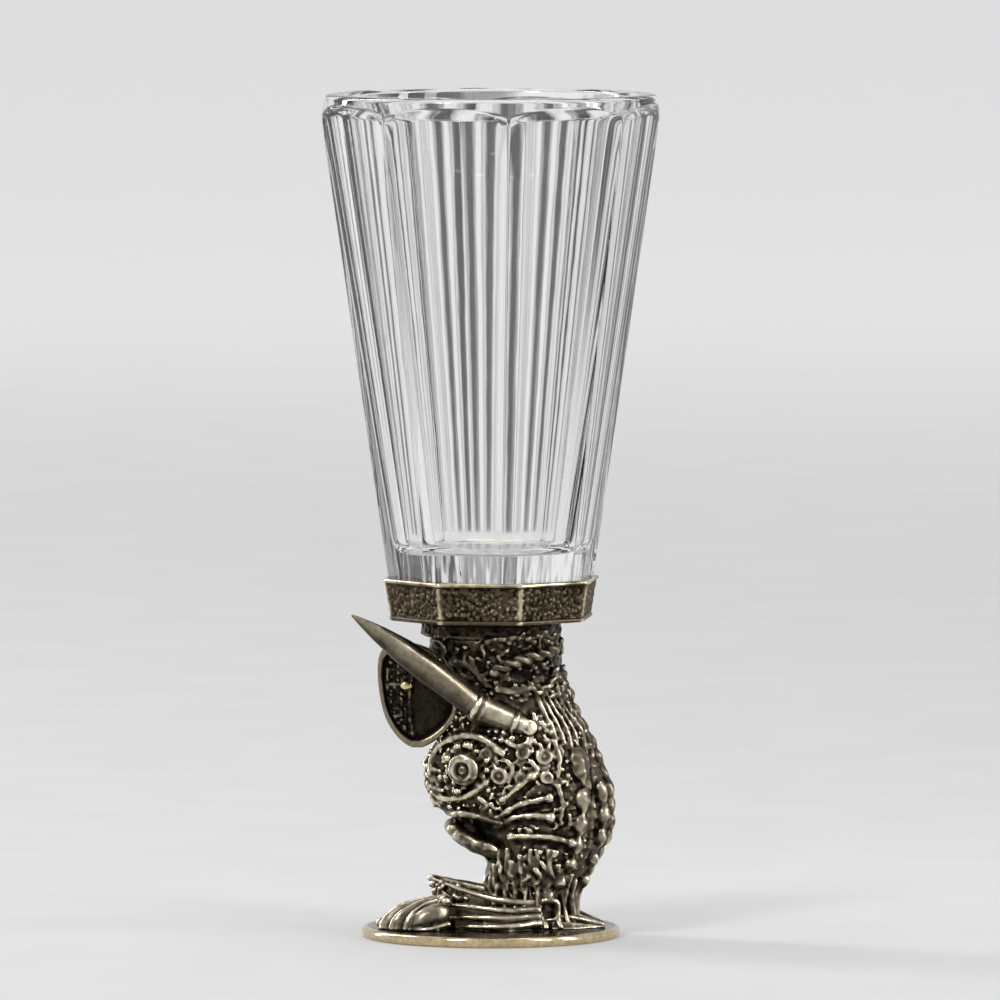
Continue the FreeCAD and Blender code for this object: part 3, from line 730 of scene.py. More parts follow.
    def skin(self) -> Skin:
        """The closed surface at distance zero.

        Each cell that it crosses gets one point, at the mean of the crossings on the cell's edges, and each
        grid edge that it crosses gets one quad, between the four cells round that edge.

        Returns:
            The points and the quads of the largest connected part.
        """
        f = self.values
        for axis in range(3):
            edge = [slice(None)] * 3
            for at in (0, -1):
                edge[axis] = at
                f[tuple(edge)] = np.maximum(f[tuple(edge)], 0.01)
        inside = f < 0
        points, number = self.cell_points(inside)
        quads = [self.edge_quads(inside, number, axis) for axis in range(3)]
        return self.largest(points, np.concatenate(quads))

    def cell_points(self, inside: Array) -> tuple[Array, Array]:
        """The surface's points, and for each cell the number of its point, or -1 where it has none."""
        f = self.values
        n = tuple(s - 1 for s in self.shape)
        corners = [(i, j, k) for i in (0, 1) for j in (0, 1) for k in (0, 1)]
        count = sum(inside[i:i + n[0], j:j + n[1], k:k + n[2]].astype(np.int8) for i, j, k in corners)
        cell = np.nonzero((count > 0) & (count < 8))
        number = np.full(n, -1, np.int64)
        number[cell] = np.arange(len(cell[0]))
        at = [f[cell[0] + i, cell[1] + j, cell[2] + k] for i, j, k in corners]
        total, hits = np.zeros((len(cell[0]), 3)), np.zeros(len(cell[0]))
        for a, ca in enumerate(corners):
            for b, cb in enumerate(corners):
                step = np.array(cb) - np.array(ca)
                if b <= a or abs(step).sum() != 1:
                    continue
                crossed = (at[a] < 0) != (at[b] < 0)
                t = np.where(crossed, at[a] / np.where(crossed, at[a] - at[b], 1.0), 0.0)
                total += crossed[:, None] * (np.array(ca) + t[:, None] * step)
                hits += crossed
        return self.low + self.step * (np.stack(cell, 1) + total / hits[:, None]), number

    @staticmethod
    def edge_quads(inside: Array, number: Array, axis: int) -> Array:
        """One quad round each grid edge along an axis that the surface crosses, facing outwards."""
        n = number.shape
        u, v = (axis + 1) % 3, (axis + 2) % 3
        ahead, back = [slice(None)] * 3, [slice(None)] * 3
        ahead[axis], back[axis] = slice(1, None), slice(None, -1)
        first, last = inside[tuple(back)], inside[tuple(ahead)]
        spot = np.stack(np.nonzero(first != last), 1)
        spot = spot[(spot[:, u] > 0) & (spot[:, v] > 0) & (spot[:, u] < n[u]) & (spot[:, v] < n[v])]
        du, dv = np.eye(3, dtype=int)[u], np.eye(3, dtype=int)[v]
        quad = np.stack([number[tuple((spot - p).T)] for p in (du + dv, dv, 0 * du, du)], 1)
        return np.where(first[tuple(spot.T)][:, None], quad, quad[:, ::-1])

    @staticmethod
    def largest(points: Array, quads: Array) -> Skin:
        """Keeps the largest connected part, found by handing the lowest point number on along the edges."""
        label = np.arange(len(points))
        one = np.concatenate([quads[:, k] for k in range(4)])
        two = np.concatenate([quads[:, (k + 1) % 4] for k in range(4)])
        while True:
            new = label.copy()
            np.minimum.at(new, one, label[two])
            np.minimum.at(new, two, label[one])
            new = new[new]
            if np.array_equal(new, label):
                break
            label = new
        main = np.bincount(label).argmax()
        keep = label == main
        renumber = np.cumsum(keep) - 1
        return points[keep], [renumber[quads[keep[quads[:, 0]]]]]


# ---- The crystal ----

def octagon(angle: Array, ridge_radius: Array, turn: float, soft: float) -> Array:
    """The radius of a regular octagon at each angle, its ridges eased.

    The two nearest flats stand at the apothem over the cosine of the angle from their middles; the
    smaller one holds, and the two are blended within `soft` millimetres of each other.

    Args:
        angle: the angles in radians.
        ridge_radius: the radius at the sharp ridges.
        turn: how far the first ridge is turned, in degrees.
        soft: how wide the ridges' rounding is.

    Returns:
        The radius at each angle.
    """
    part = TAU / 8
    from_middle = np.mod(angle - math.radians(turn), part) - part / 2
    apothem = ridge_radius * math.cos(part / 2)
    return soft_least(apothem / np.cos(from_middle), apothem / np.cos(part - np.abs(from_middle)), soft)


def soft_least(a: Array, b: Array, soft: float) -> Array:
    """The lesser of two values, with a rounded change-over as wide as `soft`."""
    h = np.maximum(soft - np.abs(a - b), 0.0) / soft
    return np.minimum(a, b) - h * h * soft * 0.25


def panel_angles(turn: float, inner: int, ease: Sequence[float]) -> Array:
    """Angles round an octagon: even steps on each flat and closer ones by the ridges.

    Args:
        turn: how far the first ridge is turned, in degrees.
        inner: how many even steps a flat has.
        ease: the closer steps' distances from the ridge, as shares of half a flat.

    Returns:
        The angles in radians.
    """
    half = TAU / 16
    flat = np.linspace(-1, 1, inner + 2)[1:-1] * (1 - max(ease) - 0.01)
    edge = 1 - np.array(sorted(ease, reverse=True))
    share = np.concatenate([-edge[::-1], flat, edge, [1.0]])
    middles = math.radians(turn) + TAU / 8 * (np.arange(8) + 0.5)
    return (middles[:, None] + half * np.sort(share)[None, :]).ravel()


def turned(radius: Array, height: Array, angle: Array) -> Array:
    """Rings of points from a radius and height for each row and angle; the angle runs from -Y to +X."""
    height = np.broadcast_to(height, radius.shape)
    return np.stack([radius * np.sin(angle), -radius * np.cos(angle), height], -1)


@dataclass
class CrystalCup:
    """The eight-panelled crystal: flat ground sides with run-outs under a plain bevel, round inside."""
    bottom: float = 53.9
    top: float = 130.0
    foot_radius: float = 14.3
    seat_radius: float = 15.9
    chamfer: float = 1.5
    girth_radius: float = 26.2
    girth_level: float = 126.2
    blank_radius: float = 26.04
    blank_level: float = 126.9
    blank_taper: float = 0.2
    run_out_level: float = 126.4
    run_out_radius: float = 2.7
    turn: float = 6.0
    ridge_ease: float = 0.16
    rim_round: float = 0.8
    cavity_rim: float = 22.5
    cavity_foot: float = 11.4
    cavity_floor: float = 59.8
    cavity_fillet: float = 2.6

    def outside(self, angle: Array, z: Array) -> Array:
        """The outer radius: the lesser of the ground octagon, pushed out by the wheel's cove near the
        top, and the round blank, which tapers to the rim."""
        seat = self.bottom + self.chamfer
        slope = (self.girth_radius - self.seat_radius) / (self.girth_level - seat)
        ridge = self.seat_radius + slope * (z - seat)
        over = np.clip(z - self.run_out_level, 0, self.run_out_radius * 0.999)
        cove = self.run_out_radius - np.sqrt(self.run_out_radius ** 2 - over ** 2)
        panel = octagon(angle, ridge + cove / math.cos(TAU / 16), self.turn, self.ridge_ease)
        blank = self.blank_radius - self.blank_taper * np.maximum(z - self.blank_level, 0)
        return soft_least(panel, blank + 0 * angle, self.ridge_ease)

    def cavity_profile(self) -> Array:
        """Radius and height down the cone, round the fillet and over the floor."""
        slope = math.atan2(self.cavity_rim - self.cavity_foot, self.top - self.cavity_floor)
        turn_by = TAU / 4 - slope
        r0 = self.cavity_foot - self.cavity_fillet * math.tan(turn_by / 2)
        a = np.linspace(0, turn_by, 14)
        fillet_r = r0 + self.cavity_fillet * np.sin(turn_by - a)
        fillet_z = self.cavity_floor + self.cavity_fillet * (1 - np.cos(turn_by - a))
        wall_z = np.linspace(self.top - self.rim_round * 1.4, fillet_z[0] + 0.6, 22)
        wall_r = self.cavity_foot + (wall_z - self.cavity_floor) * math.tan(slope)
        floor_r = np.linspace(r0 * 0.94, r0 * 0.15, 6)
        floor_z = np.full(6, self.cavity_floor)
        return np.stack([np.concatenate([wall_r, fillet_r, floor_r]),
                         np.concatenate([wall_z, fillet_z, floor_z])], 1)

    def build(self, material: Material) -> Piece:
        """Makes the closed crystal from rows of angle and profile.

        Clear crystal lets the lamps through to its bedding, so it throws no shadow of its own.
        """
        angle = panel_angles(self.turn, 17, (0.004, 0.01, 0.02, 0.035))
        rows = []
        for share, rise in ((0.3, 0), (0.93, 0), (0.985, 0.06), (1.0, 0.2)):
            ring = octagon(angle, np.full(1, self.foot_radius), self.turn, self.ridge_ease) * share
            rows.append(turned(ring, self.bottom + rise * self.chamfer, angle))
        seat = self.bottom + self.chamfer
        z = np.concatenate([[seat - 0.05, seat + 0.1], np.linspace(seat + 0.6, self.run_out_level - 0.6, 16),
                            np.linspace(self.run_out_level, self.top - self.rim_round, 26)])[:, None]
        outer = self.outside(angle[None, :], z)
        outer[0] = octagon(angle, np.full(1, self.seat_radius - 0.05), self.turn, self.ridge_ease)
        rows += list(turned(outer, z, angle[None, :]))
        profile = self.cavity_profile()
        lip, inner = outer[-1], profile[0, 0]
        for turn in np.linspace(0.15, 1.0, 6) * TAU / 4:
            rows.append(turned(lip - self.rim_round * (1 - math.cos(turn)),
                               self.top - self.rim_round * (1 - math.sin(turn)), angle))
        for turn in np.linspace(1.0, 0.1, 6) * TAU / 4:
            ring = np.full(len(angle), inner + self.rim_round * (1 - math.cos(turn)))
            rows.append(turned(ring, self.top - self.rim_round * (1 - math.sin(turn)), angle))
        for radius, height in profile:
            rows.append(turned(np.full(len(angle), radius), height, angle))
        points, faces = closed_tube(np.array(rows), np.array([0, 0, self.bottom]),
                                    np.array([0, 0, self.cavity_floor]))
        cup = build_mesh("crystal_panelled_cup", points, faces, material, rub_passes=0)
        cup.visible_shadow = False
        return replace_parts(cup, "crystal_cup")


# ---- The collar and the foot ----

@dataclass
class Collar:
    """The octagonal band that holds the crystal: stippled sides between two polished edges."""
    seat: float = 46.5
    band_bottom: float = 49.1
    band_top: float = 55.6
    neck_radius: float = 10.6
    bottom_radius: float = 16.0
    top_radius: float = 17.1
    flange: float = 0.6
    turn: float = 16.0
    pocket_turn: float = 6.0
    pocket_rim: float = 16.1
    pocket_radius: float = 14.55
    pocket_floor: float = 53.6
    stipple_pitch: float = 0.82
    stipple_depth: float = 0.36
    columns: int = 840

    def stipple(self, angle: Array, z: Array) -> Array:
        """The relief of the sides: beads at jittered places on the unrolled band."""
        maker = np.random.default_rng(SEED)
        mean = (self.bottom_radius + self.top_radius) / 2
        around = TAU * mean
        across_count = int(around / self.stipple_pitch)
        up_count = int((self.band_top - self.band_bottom) / self.stipple_pitch) + 1
        u, v = np.meshgrid(np.arange(-1, across_count + 1), np.arange(up_count), indexing="ij")
        pitch = self.stipple_pitch
        seeds = np.stack([u.ravel() * pitch, self.band_bottom + v.ravel() * pitch], 1)
        seeds += maker.uniform(-0.42, 0.42, seeds.shape) * pitch
        keep = maker.uniform(0, 1, len(seeds)) > 0.16
        radii = maker.uniform(0.36, 0.68, len(seeds))
        along, up = np.broadcast_arrays(angle * mean, z)
        return beads(along, up, seeds[keep], radii[keep]) * (self.stipple_depth / 0.28)

    def build(self, material: Material) -> Piece:
        """Makes the closed collar from rows of radius and height."""
        angle = np.arange(self.columns) * TAU / self.columns
        neck, seat, low, high = self.neck_radius, self.seat, self.band_bottom, self.band_top
        rows = []

        def ring(radius: float, height: float, square: float, turn: float, ease: float = 0.5) -> None:
            """One row between a circle (square 0) and an octagon (square 1)."""
            eight = octagon(angle, np.full(1, radius), turn, ease)
            rows.append(turned(radius * (1 - square) + eight * square, height, angle))

        for radius, height in ((6.0, seat), (neck - 0.4, seat), (neck - 0.1, seat + 0.15)):
            ring(radius, height, 0.0, self.turn)
        rows += list(self.neck_rows(angle))
        ring(neck + 1.0, low - 0.22, 0.0, self.turn)
        lower_rim = ((-2.8, -0.1, 0.5), (-0.7, 0.0, 0.95), (0.0, 0.02, 1.0), (0.25, 0.12, 1.0),
                     (0.34, 0.32, 1.0), (0.36, 0.52, 1.0), (0.2, 0.68, 1.0))
        for out, up, square in lower_rim:
            ring(self.bottom_radius + out, low + up, square, self.turn)
        rows += list(self.side_rows(angle))
        for out, down in ((0.1, 0.62), (0.26, 0.55), (0.3, 0.4), (0.28, 0.16), (0.1, 0.02), (-0.2, 0.0)):
            ring(self.top_radius + out, high - down, 1.0, self.turn)
        bore, floor = self.pocket_radius, self.pocket_floor
        for radius, height in ((self.pocket_rim + 0.1, high), (self.pocket_rim, high - 0.08),
                               (bore, floor + 0.3), (bore, floor + 0.1), (bore - 0.35, floor), (7.0, floor)):
            ring(radius, height, 1.0, self.pocket_turn, 0.1)
        points, faces = closed_tube(np.array(rows), np.array([0, 0, seat]), np.array([0, 0, floor]))
        band = build_mesh("collar_stippled_band", points, faces, material, rub_passes=7)
        # Painted shade on the neck and the lower rim, painted highlight along the ridges.
        shade_rub(band, self.painted_light_share)
        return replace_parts(band, "collar")

    def neck_rows(self, angle: Array) -> Array:
        """The neck's rings: a cylinder that flares towards the band, roughened by two sizes of noise."""
        z = np.linspace(self.seat + 0.25, self.seat + 2.25, 14)[:, None]
        radius = np.full(z.shape, self.neck_radius) + 0.6 * np.clip(z - self.seat - 1.5, 0, 1) ** 2
        rough = turned(radius + 0 * angle, z, angle[None, :])
        radius = radius + 0.3 * lattice_noise(rough, 0.7, SEED + 17)
        radius = radius + 0.25 * lattice_noise(rough, 1.6, SEED + 18)
        return turned(radius, z, angle[None, :])

    def side_rows(self, angle: Array) -> Array:
        """The band's rings: a flaring octagon with beads and chips on its flats and smooth proud ridges."""
        z = np.linspace(self.band_bottom + self.flange + 0.1, self.band_top - self.flange - 0.1, 44)[:, None]
        share = (z - self.band_bottom) / (self.band_top - self.band_bottom)
        side = self.bottom_radius + (self.top_radius - self.bottom_radius) * share
        base = octagon(angle[None, :], side, self.turn, 0.5)
        inset = np.clip(np.minimum(z - z[0], z[-1] - z) / 0.25, 0, 1)
        from_ridge = np.abs(np.mod(angle - math.radians(self.turn) + TAU / 16, TAU / 8) - TAU / 16)
        fade = inset * np.clip((from_ridge[None, :] - 0.012) / 0.03, 0.12, 1)
        around = turned(base, z, angle[None, :])
        chips = 0.5 * lattice_noise(around, 0.42, SEED + 14) + 0.3 * lattice_noise(around, 0.9, SEED + 15)
        ridge = 0.12 * np.exp(-(from_ridge[None, :] / 0.03) ** 2) * inset
        relief = (self.stipple(angle[None, :], z) * 1.05 + 0.26 * chips - 0.36) * fade + ridge
        return turned(base + relief, z, angle[None, :])

    def painted_light_share(self, p: Array) -> Array:
        """The share of the wear attribute at each point, which paints light and shade: painted shade on the
        neck under the band and on the lower rim, and a painted highlight along the eight ridges on top of
        their edge wear."""
        angle = np.arctan2(p[:, 0], -p[:, 1]) - math.radians(self.turn)
        from_ridge = np.abs(np.mod(angle + TAU / 16, TAU / 8) - TAU / 16)
        band = 0.88 + 0.5 * np.exp(-(from_ridge / 0.03) ** 2)
        lower_rim = np.clip((self.band_bottom + 1.0 - p[:, 2]) / 0.4, 0, 1)
        return np.where(p[:, 2] < self.band_bottom, 0.55, band * (1 - 0.3 * lower_rim))


@dataclass
class Foot:
    """The round foot plate with its eased edge, polished and brightened by a painted highlight, its spigot
    and the screw's counterbore.
    """
    radius: float = 19.88
    thickness: float = 1.6
    bead: float = 0.55
    spigot_x: float = 6.0
    spigot_radius: float = 4.8
    spigot_top: float = 4.0
    bore_radius: float = 3.8
    bore_depth: float = 2.3
    columns: int = 288

    def build(self, material: Material) -> Piece:
        """Makes the closed plate from rings that slide from the bore's centre to the plate's."""
        angle = np.arange(self.columns) * TAU / self.columns
        a = np.linspace(0, TAU / 4, 5)
        bead = self.bead
        inner = self.radius - bead
        low = [(inner + bead * math.sin(t), bead - bead * math.cos(t)) for t in a]
        high = [(inner + bead * math.cos(t), self.thickness - bead + bead * math.sin(t)) for t in a]
        plan = [(self.spigot_x, self.bore_radius, self.bore_depth), (self.spigot_x, self.bore_radius, 0.15),
                (self.spigot_x, self.bore_radius + 0.15, 0.0), (3.0, 11.0, 0.0)]
        plan += [(0.0, r, h) for r, h in low + high]
        shares = np.linspace(0.06, 1, 26)
        plan += [(self.spigot_x * s, inner * (1 - s) + self.spigot_radius * s,
                  self.thickness - 0.12 * math.sin(math.pi * min(s * 3, 1)) ** 2) for s in shares]
        plan += [(self.spigot_x, self.spigot_radius, self.spigot_top - 0.2),
                 (self.spigot_x, self.spigot_radius - 0.2, self.spigot_top)]
        rings = np.array([np.stack([cx + r * np.cos(angle), r * np.sin(angle), np.full(self.columns, h)], -1)
                          for cx, r, h in plan])
        wave = lattice_noise(rings, 2.6, SEED + 1) * 0.05
        top = slice(4 + len(low) + len(high), -2)
        rings[top, :, 2] += wave[top] * np.clip(np.arange(len(plan))[top, None] - top.start, 0, 1)
        rings[top, :, 2] = np.minimum(rings[top, :, 2], self.thickness)
        points, faces = closed_tube(rings, np.array([self.spigot_x, 0, self.bore_depth]),
                                    np.array([self.spigot_x, 0, self.spigot_top]))
        plate = build_mesh("foot_plate", points, faces, material, rub_passes=14, sharp=50)
        # The rim gets more than full wear, partly polish and partly a painted highlight; the top keeps less.
        shade_rub(plate, lambda p: np.where(np.hypot(p[:, 0], p[:, 1]) > self.radius - 0.6, 1.5, 0.7))
        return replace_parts(plate, "foot_disc")


# ---- The dragon ----

@dataclass
class Dragon:
    """The figure that carries the collar: a scaled back, a ringed eye, feelers, beard and horn sleeve."""
    step: float = 0.23
    foot: float = 1.6
    top: float = 46.5
    neck_top: float = 48.6
    sleeve_mouth: Point = (-2.6, -8.56, 36.5)
    sleeve_way: Point = (-0.915, -0.06, 0.395)
    sleeve_length: float = 7.4
    sleeve_radius: float = 1.75
    scale_pitch: float = 1.55
    eye_at: tuple[float, float] = (-3.7, 26.1)
    girths: tuple = (
        (0.0, 6.0, 6.6, 6.0, 0.0), (5.4, 6.2, 7.0, 6.1, 0.05), (9.4, 7.2, 8.2, 7.2, 0.1),
        (13.0, 8.0, 9.4, 8.4, 0.2), (15.4, 6.4, 11.7, 9.3, 0.42), (18.2, 4.9, 13.4, 9.9, 0.46),
        (21.6, 4.1, 13.7, 10.2, 0.42), (25.2, 3.3, 13.3, 10.1, 0.36), (28.0, 3.6, 11.8, 9.4, 0.28),
        (30.6, 4.0, 10.2, 8.5, 0.18), (34.0, 3.8, 8.8, 7.9, 0.1), (38.0, 2.3, 9.1, 8.2, 0.05),
        (41.8, 1.2, 9.5, 8.9, 0.0), (44.9, 0.7, 10.0, 9.6, 0.0))
    clay: Optional[Clay] = field(default=None, repr=False)

    def girth(self, z: Array) -> list[Array]:
        """Centre, half length, half depth and face taper of the body at a height, eased between stations."""
        table = np.array(self.girths)
        dense = np.linspace(-1.5, 46.4, 320)
        kernel = np.hanning(13) / np.hanning(13).sum()
        result = []
        for column in range(1, 5):
            line = np.interp(dense, table[:, 0], table[:, column])
            eased = np.convolve(np.pad(line, 6, mode="edge"), kernel, mode="valid")
            result.append(np.interp(np.asarray(z) - self.foot, dense, eased))
        return result

    def torso(self, x: Array, y: Array, z: Array) -> Array:
        """The body's distance: the length of the place scaled by the girth, less one, over its slope; the
        half depth shrinks towards the face by the taper."""
        centre, half_x, half_y, taper = self.girth(z)
        u = (x - centre) / half_x
        plain = np.sqrt(u * u + (y / half_y) ** 2) + 1e-6
        width = half_y * (1 - taper * (1 - np.clip(u / plain, -1, 1)) / 2)
        v = y / width
        rho = np.sqrt(u * u + v * v) + 1e-6
        slope = np.sqrt((u / half_x) ** 2 + (v / width) ** 2) + 1e-6
        return rho * (rho - 1) / slope

    def on_skin(self, theta: float, z: float, out: float = 0.0) -> tuple[Array, Array]:
        """Finds a place on the skin by its angle and height.

        Args:
            theta: the angle from the back in degrees, negative on the near side.
            z: the height.
            out: how far outside the skin the place lies.

        Returns:
            The place and the skin's normal.
        """
        centre, half_x, half_y, taper = (float(g) for g in self.girth(z))
        t = math.radians(theta)
        width = half_y * (1 - taper * (1 - math.cos(t)) / 2)
        p = np.array([centre + half_x * math.cos(t), width * math.sin(t), z])
        d = 0.05
        n = np.array([float(self.torso(*(p + d * e)) - self.torso(*(p - d * e))) for e in np.eye(3)])
        n = unit(n)
        return p + n * out, n

    def at(self, x: float, z: float, side: Side = Side.NEAR, out: float = 0.0) -> tuple[Array, Array]:
        """The skin's point and normal where a level look at the near side meets x and z.

        A place that stands nearer by some depth is set higher by the slope of sight times that depth.

        Args:
            x, z: where the look meets the skin.
            side: the side that the place is put on.
            out: how far outside the skin the place lies.

        Returns:
            The place and the skin's normal.
        """
        depth = 0.0
        for _ in range(3):
            level = z + SLOPE_OF_SIGHT * depth
            centre, half_x, _, _ = (float(g) for g in self.girth(level))
            theta = math.degrees(math.acos(min(max((x - centre) / half_x, -0.995), 0.995)))
            p, n = self.on_skin(-theta, level, out)
            depth = abs(p[1])
        flip = np.array([1.0, -1.0 if side is Side.FAR else 1.0, 1.0])
        return p * flip, n * flip

    def line(self, knots: Sequence[Spot], side: Side, out: float = 0.3, steps: int = 6) -> Array:
        """A smooth path over the skin through x and z places."""
        return smooth_path([tuple(self.at(x, z, side, out)[0]) for x, z in knots], steps)

    def cord(self, knots: Sequence[Spot], side: Side, start: float, end: float,
             out: float = 0.3, soft: float = 0.25, carve: bool = False) -> Array:
        """A rod or furrow over the skin.

        Args:
            knots: the x and z places that it goes through.
            side: the side that it lies on.
            start, end: its radius at both ends.
            out: how far outside the skin its middle lies.
            soft, carve: as for Clay.blend.

        Returns:
            Its path.
        """
        path = self.line(knots, side, out)
        self.clay.strand(path, np.linspace(start, end, len(path)), soft, carve)
        return path

    def block_out(self) -> None:
        """The torso between its flat ends, with the waist over the foot and the mouth's gap."""
        clay = self.clay
        x, y, z = (clay.axes[0][:, None, None], clay.axes[1][None, :, None], clay.axes[2][None, None, :])
        body = self.torso(x, y, z)
        clay.values = np.maximum(np.maximum(body, z - self.top), self.foot - z).astype(np.float32)
        tilt = np.array([unit((0.93, 0, -0.36)), (0, 1, 0), unit((0.36, 0, 0.93))])
        clay.blob((-7.0, 0, 18.0), (6.6, 13.0, 1.35), tilt, soft=0.6, carve=True)
        clay.blob((-4.6, 0, 11.6), (4.2, 13.0, 2.2), soft=0.8, carve=True)
        clay.blob((-1.2, 0, 14.0), (5.2, 5.6, 1.5), tilt, soft=0.8)
        clay.blob((-2.6, 0, 16.9), (3.9, 3.9, 2.2), soft=0.5)

    def add_jaw(self) -> None:
        """The lower lip as one thick bent rod, the upper lip over it, teeth between and the chin's ring."""
        clay = self.clay
        lip = smooth_path([(0.4, -6.6, 13.9), (-2.6, -6.0, 15.0), (-5.2, -3.6, 16.4), (-6.0, 0, 17.0),
                           (-5.2, 3.6, 16.4), (-2.6, 6.0, 15.0), (0.4, 6.6, 13.9)], 6)
        clay.strand(lip, 0.75 + 0.45 * np.sin(np.linspace(0, math.pi, len(lip))), 0.5)
        for side in Side:
            s = side.value
            upper = smooth_path([(-6.4, 0, 19.4), (-5.6, 3.6 * s, 19.3), (-2.6, 7.0 * s, 19.3),
                                 (1.4, 8.9 * s, 18.2)], 6)
            clay.strand(upper, np.linspace(0.75, 0.4, len(upper)), 0.35)
            for k in range(4):
                root = upper[5 + 3 * k] + np.array([0.2, 0, -0.2])
                tip = root + np.array([0.1, 0, -1.5 + 0.15 * k])
                clay.strand([root, tip], [0.42, 0.12], 0.15)
            buckle, n = self.at(-0.1, 13.4, side, 0.5)
            clay.ring(buckle, n, 0.75, 0.32)
            clay.blob(buckle, 0.4)
            clay.blob((-4.3, 4.6 * s, 15.9), (1.3, 0.9, 0.7), soft=0.4)

    def add_eye(self, side: Side) -> None:
        """The eye: a sunk socket, two rings, a ball with a drilled pupil, brow and beads round about."""
        clay = self.clay
        centre, n = self.at(*self.eye_at, side)
        clay.blob(centre + 0.1 * n, 2.7, soft=0.8)
        clay.blob(centre + 3.5 * n, 1.9, soft=0.3, carve=True)
        clay.ring(centre + 1.55 * n, n, 2.1, 0.4)
        clay.ring(centre + 1.3 * n, n, 1.3, 0.3)
        clay.blob(centre + 1.45 * n, 0.85, soft=0.1)
        clay.blob(centre + 2.35 * n, 0.42, soft=0.1, carve=True)
        one, two = across(n)
        maker = np.random.default_rng(SEED + 7)
        for k in range(19):
            a = TAU * (k + maker.uniform(-0.35, 0.35)) / 19
            away, size = maker.uniform(2.9, 3.9), maker.uniform(0.35, 0.7)
            bead = centre + maker.uniform(-0.3, 0.6) * n + away * (one * math.cos(a) + two * math.sin(a))
            clay.blob(bead, (size, size * 1.2, size), soft=0.25)
        self.cord([(-9.0, 25.4), (-8.2, 28.4), (-5.2, 30.6), (-1.2, 30.6), (1.8, 28.4)], side, 0.5, 0.7, 0.5)
        self.cord([(-8.8, 22.4), (-6.4, 21.4), (-3.2, 22.0), (-0.6, 24.0)], side, 0.4, 0.6, 0.45)

    def add_nose(self, side: Side) -> None:
        """The nostril, its flare and the wrinkles over the snout."""
        clay = self.clay
        spot, n = self.on_skin(180 - 22 * side.value, 21.8, 0.2)
        clay.ring(spot, n, 0.95, 0.38)
        clay.blob(spot + 0.3 * n, 0.62, soft=0.15, carve=True)
        for k in range(3):
            level = 23.6 + 1.5 * k
            path = np.array([self.on_skin(180 - side.value * t, level - 0.02 * t, 0.25)[0]
                             for t in np.linspace(0, 34, 7)])
            clay.strand(path, np.linspace(0.45, 0.25, 7), 0.25)

    def add_feelers(self, side: Side) -> None:
        """The four feelers on the cheek, each a rod with a knob, over furrows that set them off."""
        feelers = (
            ((2.0, 21.3), (3.6, 22.6), (6.3, 25.0)), ((1.2, 18.4), (3.2, 20.0), (5.4, 20.9), (8.9, 21.6)),
            ((1.2, 17.2), (3.7, 18.6), (6.2, 18.9), (9.2, 18.6)),
            ((3.2, 15.6), (6.0, 15.6), (9.5, 15.4), (12.3, 14.6)))
        for knots in feelers:
            below = [(x, z - 1.15) for x, z in knots]
            self.cord(below, side, 0.45, 0.6, 0.25, 0.3, carve=True)
        for knots in feelers:
            path = self.cord(knots, side, 0.42, 0.55, 0.55)
            self.clay.blob(path[-1], 0.85, soft=0.2)
            self.clay.blob(path[0], 0.7, soft=0.3)

    def add_curls(self, side: Side) -> None:
        """Ringlets and short locks on the cheek and behind the eye."""
        clay = self.clay
        for x, z, r, thick in ((1.4, 25.0, 1.05, 0.36), (8.1, 27.8, 0.95, 0.34), (4.9, 28.4, 0.8, 0.32),
                               (4.6, 24.6, 0.6, 0.3), (8.6, 24.6, 0.7, 0.3), (-0.6, 28.2, 0.75, 0.3)):
            centre, n = self.at(x, z, side, 0.45)
            clay.ring(centre, n, r, thick)
            clay.blob(centre, 0.32, soft=0.2)
        for knots in (((2.6, 30.2), (4.2, 29.4), (6.6, 30.4)), ((6.2, 27.0), (7.0, 25.8), (6.4, 24.2)),
                      ((9.6, 30.2), (10.4, 27.6), (10.2, 24.8)), ((2.6, 27.2), (3.4, 26.0), (2.8, 24.0)),
                      ((10.2, 23.4), (10.9, 20.8), (10.6, 18.2)), ((-1.6, 21.6), (-0.4, 20.4), (-1.2, 19.4))):
            self.cord(knots, side, 0.5, 0.3, 0.4)

    def add_back(self, side: Side) -> None:
        """Two rows of keeled scales down the back in troughs, with long locks above them."""
        clay = self.clay
        outer = ((13.4, 26.8, 5.4, 3.0), (14.0, 21.4, 3.6, 2.4), (13.7, 17.5, 3.1, 2.1),
                 (13.0, 14.3, 2.8, 1.9), (12.0, 11.3, 2.6, 1.8), (10.5, 8.6, 2.3, 1.6), (8.8, 6.4, 2.0, 1.5))
        inner = ((16.6, 22.4, 3.2, 1.7), (17.0, 18.8, 3.0, 1.8), (16.5, 15.6, 2.9, 1.7),
                 (15.4, 12.0, 2.6, 1.6), (13.9, 8.8, 2.4, 1.5))
        for row in (outer, inner):
            self.cord([(x, z) for x, z, _, _ in row], side, 1.4, 1.0, 1.25, 0.5, carve=True)
        self.cord([(15.4, 27.0), (15.7, 21.6), (15.2, 17.0), (14.6, 13.6), (13.4, 10.6), (11.6, 7.2)], side,
                  0.45, 0.3, 0.35, 0.3, carve=True)
        for row in (outer, inner):
            centres = [self.at(x, z, side, 0.15) for x, z, _, _ in row]
            for k, (x, z, length, width) in enumerate(row):
                c, n = centres[k]
                a, b = centres[max(k - 1, 0)][0], centres[min(k + 1, len(row) - 1)][0]
                along = unit(a - b)
                along = unit(along - n * (along @ n))
                axes = np.array([along, np.cross(n, along), n])
                clay.blob(c + 0.1 * n, (length * 0.5, width * 0.58, 1.05), axes, soft=0.05)
                point = c - along * length * 0.3 + 0.25 * n
                tip = point - along * length * 0.34 + 0.1 * n
                clay.strand([point, tip], [width * 0.34, 0.22], 0.2)
                head, tail = c + along * length * 0.42 + 0.5 * n, c - along * length * 0.4 + 0.65 * n
                clay.strand([head, c + 0.8 * n, tail], [0.2, 0.36, 0.25], 0.3)
        for k in range(6):
            dx = 1.35 * k
